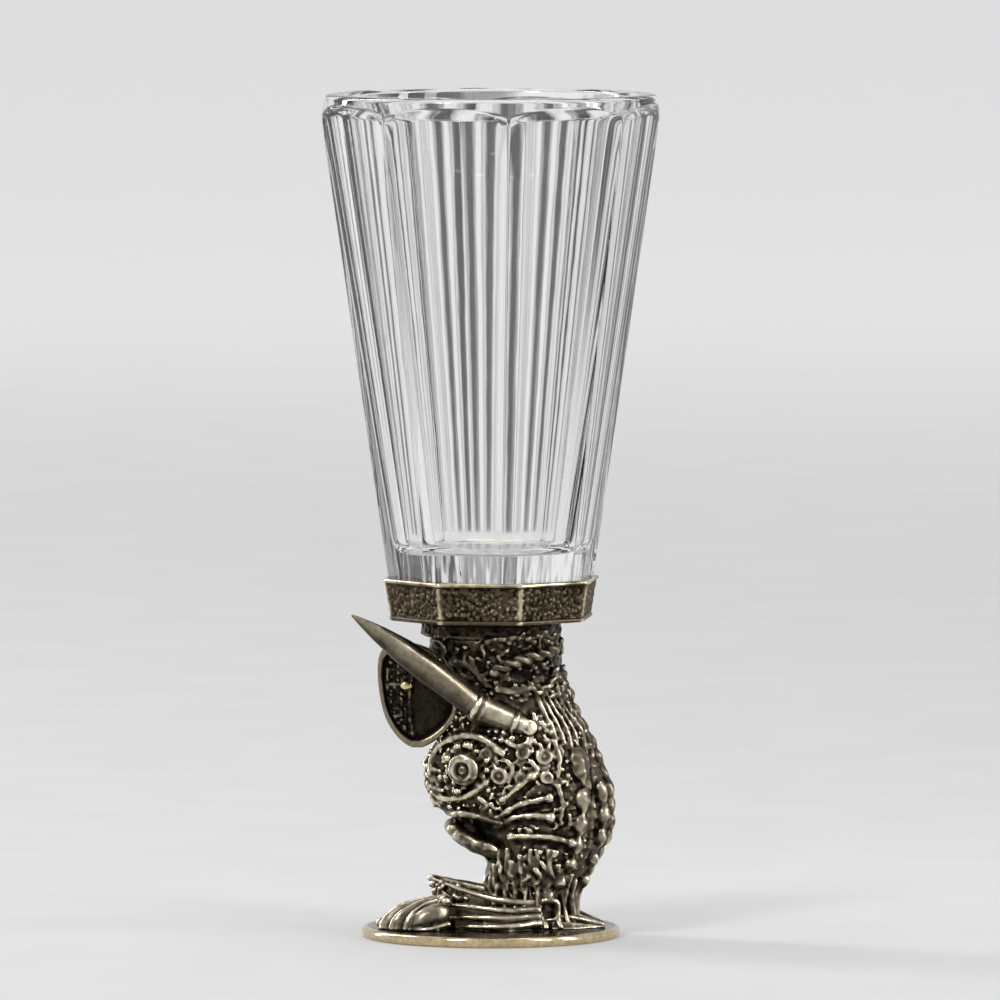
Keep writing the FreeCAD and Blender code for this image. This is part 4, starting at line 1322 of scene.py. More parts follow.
            self.cord([(6.2 + dx * 0.7, 39.4 - 0.5 * k), (7.4 + dx * 0.8, 36.2 - 0.4 * k),
                       (9.0 + dx * 0.9, 33.0 - 0.4 * k), (10.0 + dx * 0.8, 30.4 - 0.5 * k)],
                      side, 0.24, 0.44, 0.2, 0.3)

    def add_spine(self) -> None:
        """The ridge down the middle of the back: overlapping knobs, largest at the shoulders."""
        for k in range(13):
            z = 8.0 + 2.45 * k
            size = 1.25 - 0.05 * abs(k - 6)
            c, n = self.on_skin(0, z, 0.1)
            axes = np.array([(0, 1, 0), np.cross(n, (0, 1, 0)), n])
            self.clay.blob(c, (0.95 * size, 1.35 * size, 0.8 * size), axes, soft=0.2)

    def add_beard(self, side: Side) -> None:
        """The beard's wavy locks down the front of the column."""
        maker = np.random.default_rng(SEED + 2)
        for k in range(40):
            x = -0.2 + 0.295 * k + maker.uniform(-0.3, 0.3)
            top = 14.0 - 0.003 * (k - 18) ** 2 + maker.uniform(-5.0, 0.5)
            sway = maker.uniform(-0.55, 0.55, 4)
            drop = maker.uniform(0.8, 1.7)
            knots = [(x + sway[i], top - i * drop) for i in range(4)]
            self.cord(knots, side, 0.3 + maker.uniform(0, 0.24), 0.18, maker.uniform(0.05, 0.5), 0.15)

    def add_skirt(self, side: Side) -> None:
        """Folds that run down the foot of the column and turn outwards over the plate."""
        maker = np.random.default_rng(SEED + 9)
        sign = side.value
        for k in range(13):
            theta = 8 + 13 * k
            lean = maker.uniform(-14, 14)
            places = ((8.6 + maker.uniform(-0.8, 1.2), 0.1), (5.6, 0.3), (3.3, 0.9), (2.0, 1.8))
            knots = [tuple(self.on_skin(sign * (theta + lean * i / 3), z, out)[0])
                     for i, (z, out) in enumerate(places)]
            path = smooth_path(knots, 6)
            self.clay.strand(path, np.linspace(0.42, 0.5, len(path)) * maker.uniform(0.8, 1.2), 0.5)
        hook = self.line(((8.0, 5.6), (9.5, 5.5), (9.9, 4.2), (9.6, 2.9), (8.2, 2.7)), side, 1.0)
        self.clay.strand(hook, np.linspace(0.5, 0.3, len(hook)), 0.25)

    def add_crown(self, side: Side) -> None:
        """The rough mass under the collar: a lug at the front, a rope at the back, a hollow between."""
        clay = self.clay
        s = side.value
        lug, n = self.at(-7.0, 44.9, side, 0.3)
        clay.blob(lug, (2.2, 1.5, 1.5), soft=0.4)
        clay.ring(lug + 0.9 * n, n, 1.25, 0.42, 0.15)
        hollow, _ = self.at(5.4, 40.6, side, 0.6)
        clay.blob(hollow, (2.6, 1.2, 1.4), soft=0.5, carve=True)
        hollow, _ = self.at(-1.4, 43.6, side, 0.5)
        clay.blob(hollow, (2.4, 0.9, 1.0), soft=0.5, carve=True)
        self.rope([(0.2, 41.0), (3.2, 42.4), (6.4, 43.4), (9.4, 44.4)], side, 0.8, 6)
        self.rope([(9.6, 41.4), (9.0, 39.2), (7.0, 37.8)], side, 0.5, 3)
        maker = np.random.default_rng(SEED + 19)
        for theta in np.linspace(4, 176, 44):
            share = 1.0 if theta < 96 else 0.55
            turn = math.radians(theta + maker.uniform(-2, 2))
            size = maker.uniform(0.4, 0.75) * share
            height = self.top - 0.2 + maker.uniform(-0.2, 1.3) * share
            place = (10.2 * math.cos(turn), 10.2 * s * math.sin(turn), height)
            clay.blob(place, (size, size * 1.3, size), soft=0.2)
        for knots in (((-7.6, 38.6), (-4.8, 40.2), (-1.6, 40.0)), ((-5.6, 42.6), (-3.2, 42.0), (-0.6, 39.0)),
                      ((1.2, 38.4), (3.4, 38.0), (5.6, 38.4))):
            self.cord(knots, side, 0.7, 0.45, 0.3, 0.3)

    def rope(self, knots: Sequence[Spot], side: Side, radius: float, turns: int) -> None:
        """Two strands wound about a path over the skin: each is the path moved by a turning radius.

        Args:
            knots: the x and z places that the path goes through.
            side: the side that it lies on.
            radius: the rope's radius.
            turns: how many half turns a strand makes.
        """
        path = self.line(knots, side, 0.5, 10)
        tangent = unit(path[-1] - path[0])
        one, two = across(tangent)
        phase = np.linspace(0, TAU * turns / 2, len(path))
        for start in (0, math.pi):
            turn = (phase + start)[:, None]
            wound = path + radius * 0.55 * (np.cos(turn) * one + np.sin(turn) * two)
            self.clay.strand(wound, np.full(len(path), radius * 0.75), 0.12)

    def add_granules(self) -> None:
        """Beads scattered over the crown, the cheeks and the face, from a seeded draw."""
        maker = np.random.default_rng(SEED + 3)
        zones = ((0, 180, 37.0, 46.2, 560, 0.22, 0.5), (95, 180, 20.0, 35.0, 620, 0.2, 0.45),
                 (50, 112, 17.0, 35.0, 620, 0.2, 0.42), (44, 120, 7.0, 16.5, 260, 0.18, 0.36),
                 (0, 46, 29.0, 37.0, 220, 0.2, 0.4))
        eyes = [self.at(*self.eye_at, side)[0] for side in Side]
        for near, far, low, high, count, least, most in zones:
            for _ in range(count):
                theta, z = maker.uniform(near, far), maker.uniform(low, high)
                size, lift = maker.uniform(least, most), maker.uniform(-0.1, 0.35)
                sign = -1 if maker.uniform() < 0.5 else 1
                p, _ = self.on_skin(sign * theta, z, lift)
                if min(np.linalg.norm(p - eye) for eye in eyes) > 3.0:
                    self.clay.blob(p, size, soft=0.12)

    def add_worms(self) -> None:
        """Short curled ridges over the cheeks and the crown, each through three places on the skin."""
        maker = np.random.default_rng(SEED + 4)
        for near, far, low, high, count in ((52, 112, 17.5, 33.0, 90), (20, 160, 37.5, 45.6, 56)):
            for _ in range(count):
                theta, z, way = maker.uniform(near, far), maker.uniform(low, high), maker.uniform(0, TAU)
                bend, long, sign = maker.uniform(-1.2, 1.2), maker.uniform(0.6, 1.1), maker.choice((-1, 1))
                spots = []
                for k in range(3):
                    spots.append(self.on_skin(sign * theta, z, 0.3)[0])
                    theta += math.degrees(long * math.cos(way + bend * k) / 10.0)
                    z += long * math.sin(way + bend * k)
                if min(np.linalg.norm(spots[1] - self.at(*self.eye_at, side)[0]) for side in Side) > 3.2:
                    self.clay.strand(np.array(spots), np.array([0.36, 0.3, 0.2]), 0.15)

    def scale_relief(self, p: Array) -> Array:
        """Low tiled scales between the back's chains.

        Rows half a scale out of step; each scale is round across and falls away upwards under the next.
        """
        centre, half_x, half_y, _ = self.girth(p[:, 2])
        theta = np.abs(np.arctan2(p[:, 1] / half_y, (p[:, 0] - centre) / half_x))
        up = p[:, 2] / self.scale_pitch
        row = np.floor(up)
        across_row = np.mod(theta * half_x / self.scale_pitch + 0.5 * np.mod(row, 2), 1.0) - 0.5
        tile = np.sqrt(np.maximum(1 - (across_row / 0.52) ** 2, 0)) * (1 - 0.8 * (up - row)) - 0.4
        zone = np.clip((1.15 - theta) / 0.25, 0, 1) * np.clip((p[:, 2] - 7.0) / 2.0, 0, 1)
        return 0.34 * tile * zone * np.clip((36.0 - p[:, 2]) / 3.0, 0, 1)

    def add_sleeve(self) -> None:
        """The horn's sleeve: a tapered barrel with a lip, two rings and a knob at its back."""
        clay = self.clay
        mouth, way = np.array(self.sleeve_mouth), unit(self.sleeve_way)
        back = mouth - way * self.sleeve_length
        r = self.sleeve_radius
        clay.strand([back - way * 0.4, mouth - way * 0.6], [r * 0.84, r * 1.18], 0.3)
        clay.blob(back - way * 1.9, 1.2, soft=0.3)
        clay.ring(back - way * 1.9 + np.array([0, -0.7, 0.2]), unit((0.2, -0.95, 0.2)), 0.95, 0.3, 0.15)
        clay.blob((back + mouth) / 2 + np.array([0, 1.5, -0.2]), (4.6, 1.9, 1.9), soft=0.8)
        for share, grow, thick in ((0.05, 0.18, 0.4), (0.2, 0.12, 0.2), (0.93, -0.2, 0.34)):
            clay.ring(mouth - way * self.sleeve_length * share, way, r + grow, thick, 0.15)
        lip = mouth - way * 0.1
        clay.blob(lip, (0.3, 1.7, 1.7), np.array([way, *across(way)]), soft=0.2, carve=True)

    def painted_light_share(self, p: Array) -> Array:
        """The share of the wear attribute at each point, which paints light and shade: painted shade in the
        mouth, on the crown under the collar and on the back, and a painted highlight along the sleeve."""
        mouth = np.exp(-((p[:, 0] + 1.0) / 3.6) ** 2 - ((p[:, 2] - 17.6) / 1.7) ** 2)
        way = unit(self.sleeve_way)
        from_mouth = p - np.array(self.sleeve_mouth)
        along = np.clip(from_mouth @ way, -self.sleeve_length - 2.5, 0.5)
        away = np.linalg.norm(from_mouth - along[:, None] * way, axis=1)
        sleeve = np.exp(-(away / 2.4) ** 4)
        crown = np.clip((p[:, 2] - 37.0) / 4.0, 0, 1) * (1 - sleeve)
        back = np.clip((p[:, 0] - 8.0) / 3.0, 0, 1) * (1 - crown)
        return 1 - 0.6 * mouth + 0.3 * sleeve - 0.3 * crown - 0.12 * back

    def build(self, material: Material) -> Piece:
        """Sculpts and skins the figure."""
        self.clay = Clay((-11.2, -12.2, 1.2), (20.0, 12.2, 49.0), self.step)
        self.block_out()
        self.clay.ruffle(self.scale_relief)
        self.add_spine()
        for side in Side:
            self.add_crown(side)
            self.add_back(side)
            self.add_skirt(side)
            self.add_beard(side)
            self.add_nose(side)
        self.add_granules()
        self.add_worms()
        for side in Side:
            self.add_curls(side)
            self.add_feelers(side)
            self.add_eye(side)
        self.add_jaw()
        self.clay.ruffle(lambda p: 0.12 * lattice_noise(p, 1.5, SEED + 5)
                         + 0.1 * lattice_noise(p, 0.65, SEED + 6))
        self.add_sleeve()
        z = self.clay.axes[2][None, None, :]
        slab = np.maximum(z - self.neck_top, self.foot - z)
        self.clay.values = np.maximum(self.clay.values, slab).astype(np.float32)
        points, faces = self.clay.skin()
        body = build_mesh("dragon_figure", points, faces, material, rub_passes=10)
        # Painted shade in the mouth, on the crown and on the back, painted highlight along the sleeve.
        shade_rub(body, self.painted_light_share)
        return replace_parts(body, "figure_body")


@dataclass
class Horn:
    """The smooth spindle horn that stands in the sleeve and bows a little upwards to its tip."""
    mouth: Point = (-2.6, -8.56, 36.5)
    sleeve_way: Point = (-0.915, -0.06, 0.395)
    way: Point = (-0.803, -0.05, 0.594)
    length: float = 23.5
    radius: float = 2.3
    bow: float = -0.25
    swell: tuple = ((0.0, 0.84), (0.16, 0.95), (0.36, 1.0), (0.58, 0.86), (0.78, 0.57), (0.9, 0.31),
                    (0.97, 0.14), (1.0, 0.04))

    def build(self, material: Material) -> Piece:
        """Carries circles along the bowed line; their radius swells to a third of the way and runs out."""
        share = np.linspace(0, 1, 110)
        mouth, way, root = np.array(self.mouth), unit(self.way), unit(self.sleeve_way)
        path = mouth + way * (self.length * share)[:, None]
        path[:, 2] -= self.bow * np.sin(math.pi * share)
        start = mouth - root * 1.2 + root * np.linspace(0, 1, 6)[:-1, None] * 1.2
        path = np.concatenate([start, path])
        table = np.array(self.swell)
        radius = self.radius * np.interp(share, table[:, 0], table[:, 1])
        kernel = np.hanning(9) / np.hanning(9).sum()
        radius = np.convolve(np.pad(radius, 4, mode="edge"), kernel, mode="valid")
        radius = np.concatenate([np.full(len(start), 1.05), radius])
        radius[len(start) - 1] = 1.5
        points, faces = swept(path, radius, 72)
        horn = build_mesh("horn_spindle", points, faces, material, rub_passes=12)
        # Painted light: the top of the horn is made lighter and its underside darker as painted shade, and a
        # painted highlight grows towards the tip.
        middle = (points[:, :1] - mouth[0]) / way[0] * way + mouth
        out = points - middle
        up = out[:, 2] / (np.linalg.norm(out, axis=1) + 1e-6)
        to_tip = np.clip((mouth[0] - points[:, 0]) / (self.length * -way[0]), 0, 1)
        shade_rub(horn, lambda p: 0.5 + 0.4 * up + 0.25 * to_tip ** 2)
        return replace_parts(horn, "horn")


@dataclass
class Crest:
    """The leaf-shaped crest plate behind the horn: a raised rim round a grained, veined panel."""
    left: float = -17.3
    low: float = 29.1
    length: float = 12.0
    height: float = 16.4
    half: float = 1.19
    sunk: float = 0.56
    rivet_at: Point = (-13.0, 0.0, 38.8)

    def outline(self, count: int) -> Array:
        """The leaf's outline in the XZ plane: a closed smooth curve through six knots."""
        knots = np.array([(0.35, 1.0), (0.0, 0.86), (0.09, 0.28), (0.5, 0.0), (1.0, 0.3), (0.9, 0.8)])
        k = np.stack([self.left + knots[:, 0] * self.length, self.low + knots[:, 1] * self.height], 1)
        t = np.arange(count) / count * 6
        i = np.floor(t).astype(int)
        f = (t - i)[:, None]
        return span_curve(*(k[(i + step) % 6] for step in (-1, 0, 1, 2)), f)

    def build(self, material: Material) -> Piece:
        """Shrinks the outline step by step towards its middle on both faces; each step has its depth."""
        low = (self.left - 0.75, self.low + 0.1)
        high = (self.left + self.length + 0.4, self.low + self.height - 0.1)
        edge = np.clip(self.outline(220), low, high)
        middle = edge.mean(0)
        rim = np.array([(0.985, 0.72), (0.995, 0.85), (0.985, 0.95), (0.965, 1.0), (0.93, 1.0), (0.89, 0.97),
                        (0.865, 0.8), (0.85, 0.62), (0.835, self.sunk)])
        shares = np.concatenate([rim[:, 0], np.linspace(0.81, 0.05, 34)])
        depth = np.concatenate([rim[:, 1], np.full(34, self.sunk)])
        rows = []
        for sign in (-1, 1):
            face = []
            for share, lift in zip(shares, depth):
                p = middle + (edge - middle) * share
                y = np.full(len(p), self.half * lift)
                flat = np.stack([p[:, 0], np.zeros(len(p)), p[:, 1]], -1)
                inner = np.clip((0.84 - share) / 0.06, 0, 1)
                fore = np.clip((-11.5 - p[:, 0]) / 2.0, 0.15, 1)
                grain = np.abs(lattice_noise(flat, 0.55, SEED + 8)) * 0.34 * fore
                vein = 0.22 * np.exp(-((p[:, 0] - middle[0] + 0.9 - 0.02 * (p[:, 1] - 36) ** 2) / 0.35) ** 2)
                y = y + inner * (grain + vein - 0.05)
                rough = lattice_noise(flat, 1.4, SEED + 9) * 0.05
                face.append(np.stack([p[:, 0], sign * np.minimum(y + rough, self.half), p[:, 1]], -1))
            rows += face[::-1] if sign < 0 else face
        poles = [np.array([middle[0], sign * self.half * self.sunk, middle[1]]) for sign in (-1, 1)]
        points, faces = closed_tube(np.array(rows)[:, ::-1], *poles)
        leaf = build_mesh("crest_leaf", points, faces, material, rub_passes=14)
        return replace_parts(leaf, "crest")

    def build_rivet(self, material: Material) -> Piece:
        """The oval stud through the crest: a turned dome on each face, drawn out along X."""
        t = np.linspace(0, math.pi, 26)
        profile = np.stack([0.78 * np.sin(t) ** 0.85, -0.72 * np.cos(t)], 1)
        points, faces = spun(profile, 40)
        out = 0.62 * np.sign(points[:, 2])
        points = np.stack([points[:, 0] * 1.45, -(points[:, 2] + out), points[:, 1]], 1)
        points += np.array(self.rivet_at)
        stud = build_mesh("crest_stud", points, faces, material, rub_passes=6)
        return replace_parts(stud, "crest_rivet")


@dataclass
class FootCastings:
    """The tail fluke, the side fin and the fan shell that lie round the dragon on the foot plate."""
    step: float = 0.16
    foot: float = 1.58
    least: float = 0.02
    pleats: tuple = ((-1.0, 0.0), (-0.86, 0.3), (-0.66, 0.34), (-0.5, 0.62), (-0.34, 0.6), (0.0, 1.0),
                     (0.34, 0.6), (0.5, 0.62), (0.66, 0.34), (0.86, 0.3), (1.0, 0.0))

    def block(self, low: Point, high: Point, height: Callable[[Array, Array], Array]) -> Clay:
        """A block filled up to a height over the plate at each place."""
        clay = Clay(low, high, self.step * (1.0))
        x, y, z = clay.axes[0][:, None], clay.axes[1][None, :], clay.axes[2][None, None, :]
        rise = height(x, y)[:, :, None]
        bare = np.where(rise > self.least, -1.0, 0.4)
        clay.values = np.maximum((z - self.foot - rise) * 0.6, bare).astype(np.float32)
        return clay

    def finish(self, name: str, clay: Clay, node: str, material: Material) -> Piece:
        """Trims the block flat on the plate, roughens it and skins it."""
        clay.ruffle(lambda p: 0.06 * lattice_noise(p, 1.1, SEED + 12))
        z = clay.axes[2][None, None, :]
        clay.values = np.maximum(clay.values, self.foot - z).astype(np.float32)
        points, faces = clay.skin()
        piece = build_mesh(name, points, faces, material, rub_passes=10)
        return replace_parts(piece, node)

    def fold(self, x: Array, y: Array, start: float, length: float, rise: float,
             stations: Sequence[tuple]) -> Array:
        """The height of a pleated fin: its crown's rise along X times the pleat's share across Y.

        Args:
            x, y: the places on the plate.
            start, length: where the fin begins and how far it runs along X.
            rise: its greatest height.
            stations: share of the length, share of the rise, half width and sideways shift.

        Returns:
            The height at each place.
        """
        table = np.array(stations)
        share = (x - start) / length
        lift = np.interp(share, table[:, 0], table[:, 1], left=0, right=0)
        half = np.interp(share, table[:, 0], table[:, 2])
        shift = np.interp(share, table[:, 0], table[:, 3])
        pleat = np.array(self.pleats)
        place = (y - shift) / half
        height = rise * lift * np.interp(place, pleat[:, 0], pleat[:, 1], left=0, right=0)
        ripple = 0.22 * np.cos(place * 16 + share * 3) * np.minimum(height, 1)
        return height + np.where(height > self.least, ripple, 0)

    def build_tail(self, material: Material) -> Piece:
        """The broad fluke: pleats that climb to a spike, with rays swept over them from the root."""
        stations = ((0.0, 0.4, 7.0, -1.0), (0.1, 0.66, 8.4, -1.1), (0.25, 0.7, 9.2, -1.5),
                    (0.5, 0.76, 8.6, -1.0), (0.75, 0.84, 6.0, 0.2), (0.87, 0.8, 3.4, 0.9),
                    (0.94, 0.5, 2.6, 1.0), (1.0, 0.1, 1.6, 1.1))
        clay = self.block((-10.2, -11.2, 1.2), (8.2, 8.6, 9.5),
                          lambda x, y: self.fold(x, y, 7.5, -17.2, 7.0, stations))
        for s in (-1, 1):
            rays = (
                ((7.0, 4.4 * s - 1, 5.6), (2.0, 5.2 * s - 1, 6.0),
                 (-3.6, 3.9 * s, 7.2), (-9.2, 0.9 + 0.3 * s, 8.8)),
                ((7.2, 5.6 * s - 1, 4.6), (2.6, 6.7 * s - 1, 4.6),
                 (-2.8, 5.8 * s - 0.6, 5.0), (-7.2, 3.4 * s + 0.4, 5.0)),
                ((7.2, 6.4 * s - 1, 3.6), (3.0, 7.9 * s - 1, 3.5),
                 (-2.0, 7.3 * s - 0.9, 3.6), (-6.2, 5.2 * s, 3.2)),
                ((7.3, 7.0 * s - 1, 2.7), (3.6, 8.9 * s - 1, 2.4),
                 (-1.0, 8.7 * s - 1.1, 2.3), (-4.6, 6.9 * s - 0.6, 2.1)))
            for ray in rays:
                path = smooth_path(ray, 8)
                clay.strand(path, np.linspace(0.75, 0.22, len(path)), 0.5)
        crown = smooth_path([(6.8, 0, 6.4), (1.6, -0.2, 6.8), (-3.6, 0.6, 7.8), (-9.3, 1.3, 8.95)], 8)
        clay.strand(crown, np.linspace(1.0, 0.5, len(crown)), 0.6)
        clay.blob((-7.4, 0.8, 5.0), (2.0, 2.2, 2.2), soft=0.9)
        maker = np.random.default_rng(SEED + 16)
        for _ in range(60):
            spot = np.array([maker.uniform(-9.4, -3.0), maker.uniform(-2.4, 3.6), 0])
            spot[2] = 8.5 - 0.55 * abs(spot[1] - 0.9) - 0.16 * (spot[0] + 9)
            clay.blob(spot, maker.uniform(0.3, 0.55), soft=0.2)
        for _ in range(26):
            root = np.array([maker.uniform(-8.4, -5.8), maker.uniform(-1.6, 2.8), maker.uniform(4.6, 6.6)])
            tip = np.array([maker.uniform(-9.4, -6.6), maker.uniform(-2.6, 3.4), maker.uniform(6.4, 8.9)])
            clay.strand(np.array([root, (root + tip) / 2 + maker.uniform(-0.3, 0.3, 3), tip]),
                        np.array([0.8, 0.6, 0.25]), 0.2)
        return self.finish("tail_pleated_fluke", clay, "tail_fluke", material)

    def build_fin(self, material: Material) -> Piece:
        """The short fin that falls to the plate's edge, with five rays."""
        stations = ((0.0, 0.95, 6.2, 0.0), (0.4, 0.78, 5.6, -0.6), (0.8, 0.44, 3.0, -1.4),
                    (1.0, 0.24, 1.1, -1.8))
        clay = self.block((9.3, -6.8, 1.2), (17.9, 6.6, 6.0),
                          lambda x, y: self.fold(x, y, 9.45, 8.2, 3.6, stations))
        for k in range(-2, 3):
            path = smooth_path([(9.9, 1.9 * k, 4.6 - 0.5 * abs(k)), (13.0, 1.6 * k - 0.6, 3.9 - 0.4 * abs(k)),
                                (17.3, 0.35 * k - 1.8, 2.1)], 8)
            clay.strand(path, np.linspace(0.5, 0.2, len(path)), 0.3)
        return self.finish("side_rayed_fin", clay, "side_fin", material)

    def build_shell(self, material: Material) -> Piece:
        """The fan shell: ribs spread from the hinge over a dome, with a smooth lobe before them."""
        hinge = np.array([-6.3, -5.2])

        def dome(x: Array, y: Array) -> Array:
            """Height by reach from the hinge and angle in the fan: a quarter-ellipse along each rib, with
            furrows between the ribs."""
            dx, dy = hinge[0] - x, y - hinge[1]
            reach, turn = np.sqrt(dx * dx + dy * dy), np.arctan2(dy, dx)
            fan = np.clip(turn / math.radians(62), -1.0, 1.0)
            rib = np.abs(np.sin(fan * math.pi * 5.5)) ** 0.8
            limit = (0.93 + 0.07 * rib) / np.sqrt((np.cos(turn) / 11.2) ** 2 + (np.sin(turn) / 4.6) ** 2)
            inside = (np.abs(turn) < math.radians(70)) & (reach < limit)
            share = np.clip(reach / limit, 0, 1)
            side = np.clip(np.abs(turn) / math.radians(70), 0, 1)
            rise = 5.2 * np.sqrt(np.maximum(1 - share ** 2.1, 0)) * np.sqrt(1 - side ** 2.6)
            return np.where(inside, rise * (0.78 + 0.22 * rib) + 0.12, 0.0)

        clay = self.block((-17.9, -10.2, 1.2), (-5.9, 0.2, 7.4), dome)
        long, wide = unit((0.86, 0.12, 0.42)), unit((-0.14, 0.99, 0.0))
        tilt = np.array([long, wide, np.cross(long, wide)])
        clay.blob((-9.4, -7.9, 3.5), (3.3, 1.7, 1.9), tilt, soft=0.3)
        edge = smooth_path([(-12.9, -8.2, 1.9), (-9.9, -9.6, 1.9), (-6.6, -8.8, 2.6)], 6)
        clay.strand(edge, np.linspace(0.3, 0.45, len(edge)), 0.3)
        clay.blob((-7.0, -5.4, 5.9), (1.1, 1.6, 1.1), soft=0.4)
        clay.blob((-17.0, -5.0, 2.5), (0.75, 0.9, 0.75), soft=0.3)
        return self.finish("shell_ribbed_fan", clay, "shell_fan", material)


# ---- Studio ----

@dataclass(frozen=True)
class SoftBox:
    """One rectangular lamp that faces the glass: its place, its two sides and its power in watts."""
    name: str
    place: Point
    sides: tuple[float, float]
    power: float

    def build(self) -> None:
        """Hangs the lamp."""
        data = bpy.data.lights.new(self.name, "AREA")
        data.shape, data.energy = "RECTANGLE", self.power
        data.size, data.size_y = self.sides
        lamp = put_in_scene(self.name, data)
        lamp.location = self.place
        way = Vector((0, 0, 0.07)) - Vector(self.place)
        lamp.rotation_euler = way.to_track_quat("-Z", "Y").to_euler()


@dataclass
class Studio:
    """A wide pale floor, soft boxes round the object, and a long lens at table height."""
    floor_colour: tuple = (0.5, 0.5, 0.5)
    floor_glow: float = 0.14
    far_glow: float = 0.54
    room_light: float = 0.32
    room_tone: float = 0.7
    room_gloss: float = 0.14
    panel_radius: float = 0.3
    panel_scale: float = 27.0
    panel_dark: float = 0.07
    panel_light: float = 0.84
    reach: float = 9.0
    eye: Point = (0.0014, -2.1, 0.21)
    target: Point = (0.0014, 0.0, 0.0674)
    lens: float = 492.0
    lamps: tuple = (
        SoftBox("key_box", (-0.9, -1.2, 1.2), (0.35, 0.6), 13.0),
        SoftBox("fill_box", (1.2, -1.0, 0.85), (0.32, 1.4), 8.5),
        SoftBox("left_strip", (-0.8, 0.5, 0.5), (0.12, 1.1), 6.0),
        SoftBox("right_strip", (1.15, -0.3, 0.35), (0.2, 0.9), 6.0),
        SoftBox("top_box", (0.0, 0.3, 1.5), (0.8, 0.8), 6.0))

    def build_floor(self) -> None:
        """A wide round floor: circles of growing radius about the Z axis.

        Part of its paleness is a glow that only the camera, glossy and transmission rays see; it grows
        away from the object as the lamps' light falls off.
        """
        radius = np.array([0.05, 0.5, 1.0, 3.0, self.reach])[:, None]
        angle = np.arange(64) * TAU / 64
        rows = np.stack([radius * np.cos(angle), radius * np.sin(angle), 0 * radius + 0 * angle], -1) / MM
        middle = np.stack([np.full(64, 64 * len(radius)), np.arange(64), (np.arange(64) + 1) % 64], 1)
        faces = [grid_faces(len(radius), 64, True)[:, ::-1], middle]
        points = np.concatenate([rows.reshape(-1, 3), np.zeros((1, 3))])
        material, bench, shader = new_material("studio_floor", {
            "Roughness": 0.9, "Specular IOR Level": 0.1, "Emission Color": (1, 1, 1, 1)})
        place = bench.place()
        paper = bench.noise(place, 40.0, 2.0)
        low, high = (tuple(c * s for c in self.floor_colour) for s in (0.985, 1.015))
        away = bench.add("VectorMath", {0: place}, operation="LENGTH").outputs["Value"]
        glow = bench.span(away, 0.3, 2.0, self.floor_glow, self.far_glow)
        bench.feed(shader, {"Base Color": bench.ramp(paper, [(0.4, low), (0.6, high)]),
                            "Emission Strength": bench.math("MULTIPLY", seen_rays(bench), glow)})
        build_mesh("studio_floor", points, faces, material, rub_passes=0)

    def add_world(self) -> None:
        """A plain pale room."""
        world = bpy.data.worlds.new("studio_room")
        world.use_nodes = True
        bpy.context.scene.world = world
        bench = NodeBench(world.node_tree)
        back = world.node_tree.nodes["Background"]
        plain = bench.span(seen_rays(bench), 0.0, 1.0, self.room_light, self.room_tone, smooth=False)
        level = bench.add("Mix", {0: first_gloss(bench), 2: plain, 3: self.room_gloss},
                          data_type="FLOAT").outputs[0]
        bench.feed(back, {"Strength": level})
        back.inputs["Color"].default_value = (1, 1, 1, 1)

    def build_panels(self) -> None:
        """A ring of tall light and dark panels round the object, which the glass shows and metal doesn't.

        The tone changes with the direction from the middle alone: noise over the unit circle, sharpened.
        """
        angle = np.arange(96) * TAU / 96
        height = np.array([0.002, 0.25, 0.75])[:, None]
        radius = self.panel_radius + 0 * height
        rows = np.stack([radius * np.cos(angle), radius * np.sin(angle), height + 0 * angle], -1) / MM
        material, bench, shader = new_material("studio_panels", {
            "Base Color": (0, 0, 0, 1), "Roughness": 1.0, "Specular IOR Level": 0.0,
            "Emission Color": (1, 1, 1, 1)})
        place = bench.place()
        flat = bench.add("VectorMath", {0: place, 1: (1.0, 1.0, 0.05)}, operation="MULTIPLY").outputs[0]
        noise = bench.noise(flat, self.panel_scale, 3.0)
        panel = bench.span(noise, 0.37, 0.61, self.panel_dark, self.panel_light)
        level = bench.add("SeparateXYZ", {0: place}).outputs[2]
        foot = bench.span(level, 0.0, 0.05)
        tone = bench.add("Mix", {0: foot, 2: self.room_tone, 3: panel}, data_type="FLOAT").outputs[0]
        bench.feed(shader, {"Emission Strength": tone,
                            "Alpha": bench.math("SUBTRACT", 1.0, first_gloss(bench))})
        faces = [grid_faces(len(height), len(angle), True)[:, ::-1]]
        ring = build_mesh("studio_panels", rows.reshape(-1, 3), faces, material, rub_passes=0)
        ring.visible_camera = ring.visible_diffuse = ring.visible_shadow = False

    def build(self) -> None:
        """Sets the floor, the lamps, the world, the camera and the view."""
        self.build_floor()
        self.build_panels()
        self.add_world()
        for lamp in self.lamps:
            lamp.build()
        data = bpy.data.cameras.new("lens")
        data.lens, data.sensor_width, data.clip_end = self.lens, 36.0, 50.0
        camera = put_in_scene("camera", data)
        camera.location = self.eye
        way = Vector(self.target) - Vector(self.eye)
        camera.rotation_euler = way.to_track_quat("-Z", "Y").to_euler()
        bpy.context.scene.camera = camera
        bpy.context.scene.view_settings.view_transform = "Standard"


def carry_over(node: str, material: Material) -> Piece:
    """Dresses a solid that shows as it was made."""
    piece = frame["nodes"][node]
    piece.data.materials.clear()
    piece.data.materials.append(material)
    return piece


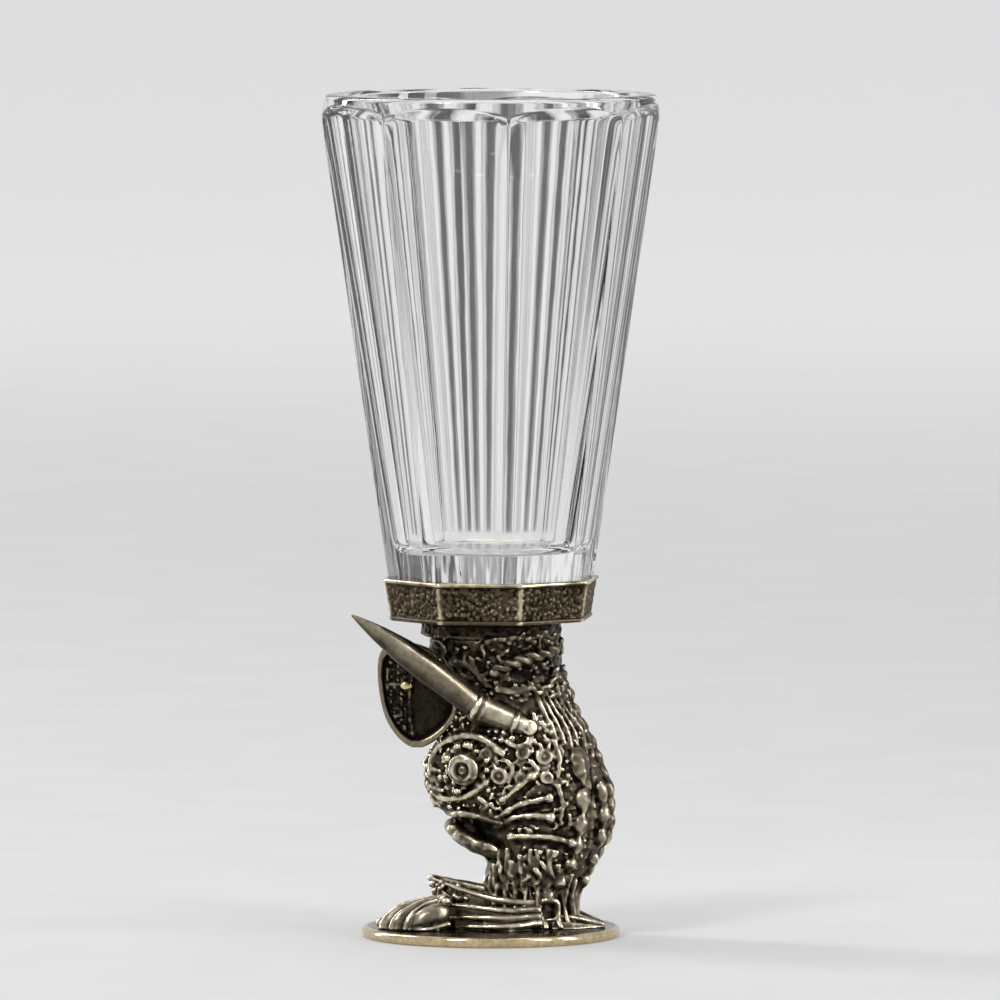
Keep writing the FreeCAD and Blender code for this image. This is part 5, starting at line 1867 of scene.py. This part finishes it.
BRONZES = (
    BronzeFinish("cast_bronze", deep=(0.01, 0.008, 0.006), body=(0.1, 0.082, 0.058),
                 worn=(0.8, 0.71, 0.54), wear=0.46, rough_deep=0.4, rough_worn=0.16),
    BronzeFinish("cast_bronze_band", deep=(0.01, 0.008, 0.005), body=(0.09, 0.07, 0.043),
                 worn=(0.76, 0.65, 0.44), wear=0.44, rough_deep=0.38, rough_worn=0.13),
    BronzeFinish("satin_bronze", deep=(0.05, 0.041, 0.028), body=(0.24, 0.205, 0.145),
                 worn=(0.68, 0.6, 0.46), wear=0.48, rough_deep=0.3, rough_worn=0.2,
                 grain_size=1500.0, grain_depth=0.05),
    BronzeFinish("dark_bronze", deep=(0.01, 0.009, 0.007), body=(0.11, 0.092, 0.068),
                 worn=(0.66, 0.58, 0.44), wear=0.5, rough_deep=0.38, rough_worn=0.17),
    # The crest's finish is a much darker copy of the dark bronze: painted shade over the whole leaf.
    BronzeFinish("dark_bronze_leaf", deep=(0.006, 0.005, 0.004), body=(0.03, 0.025, 0.017),
                 worn=(0.26, 0.22, 0.15), wear=0.36, rough_deep=0.42, rough_worn=0.25),
    BronzeFinish("satin_bronze_plate", deep=(0.016, 0.013, 0.009), body=(0.06, 0.048, 0.031),
                 worn=(0.62, 0.5, 0.3), wear=0.42, rough_deep=0.2, rough_worn=0.15,
                 grain_size=1200.0, grain_depth=0.05),
    BronzeFinish("bright_brass", deep=(0.35, 0.27, 0.11), body=(0.62, 0.5, 0.24),
                 worn=(0.85, 0.72, 0.42), wear=0.6, rough_deep=0.3, rough_worn=0.14,
                 grain_size=1500.0, grain_depth=0.05))


def main() -> None:
    """Builds and dresses the sub-assemblies in order and logs each piece."""
    logging.basicConfig(level=logging.INFO, format="%(name)s: %(message)s")
    groups = {"patina": patina_group(), "streaks": streak_group()}
    cast, band, satin, dark, leaf, plate, brass = (finish.material(groups) for finish in BRONZES)
    steel = SteelFinish().material(groups)
    crest, castings = Crest(), FootCastings()
    pieces = [
        CrystalCup().build(CrystalFinish().material(groups)),
        Collar().build(band),
        Dragon().build(cast),
        Horn().build(satin),
        crest.build(leaf),
        crest.build_rivet(brass),
        castings.build_tail(dark),
        castings.build_fin(dark),
        castings.build_shell(dark),
        Foot().build(plate),
        carry_over("cup_bedding", ResinFinish().material(groups)),
        carry_over("collar_screw", steel),
        carry_over("foot_screw", steel),
        carry_over("foot_washer", steel),
    ]
    for piece in pieces:
        if not piece.get("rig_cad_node"):
            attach(piece, ROOT)
        LOG.info("%s: %d faces", piece.name, len(piece.data.polygons))
    Studio().build()
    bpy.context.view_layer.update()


if __name__ == "__main__":
    main()
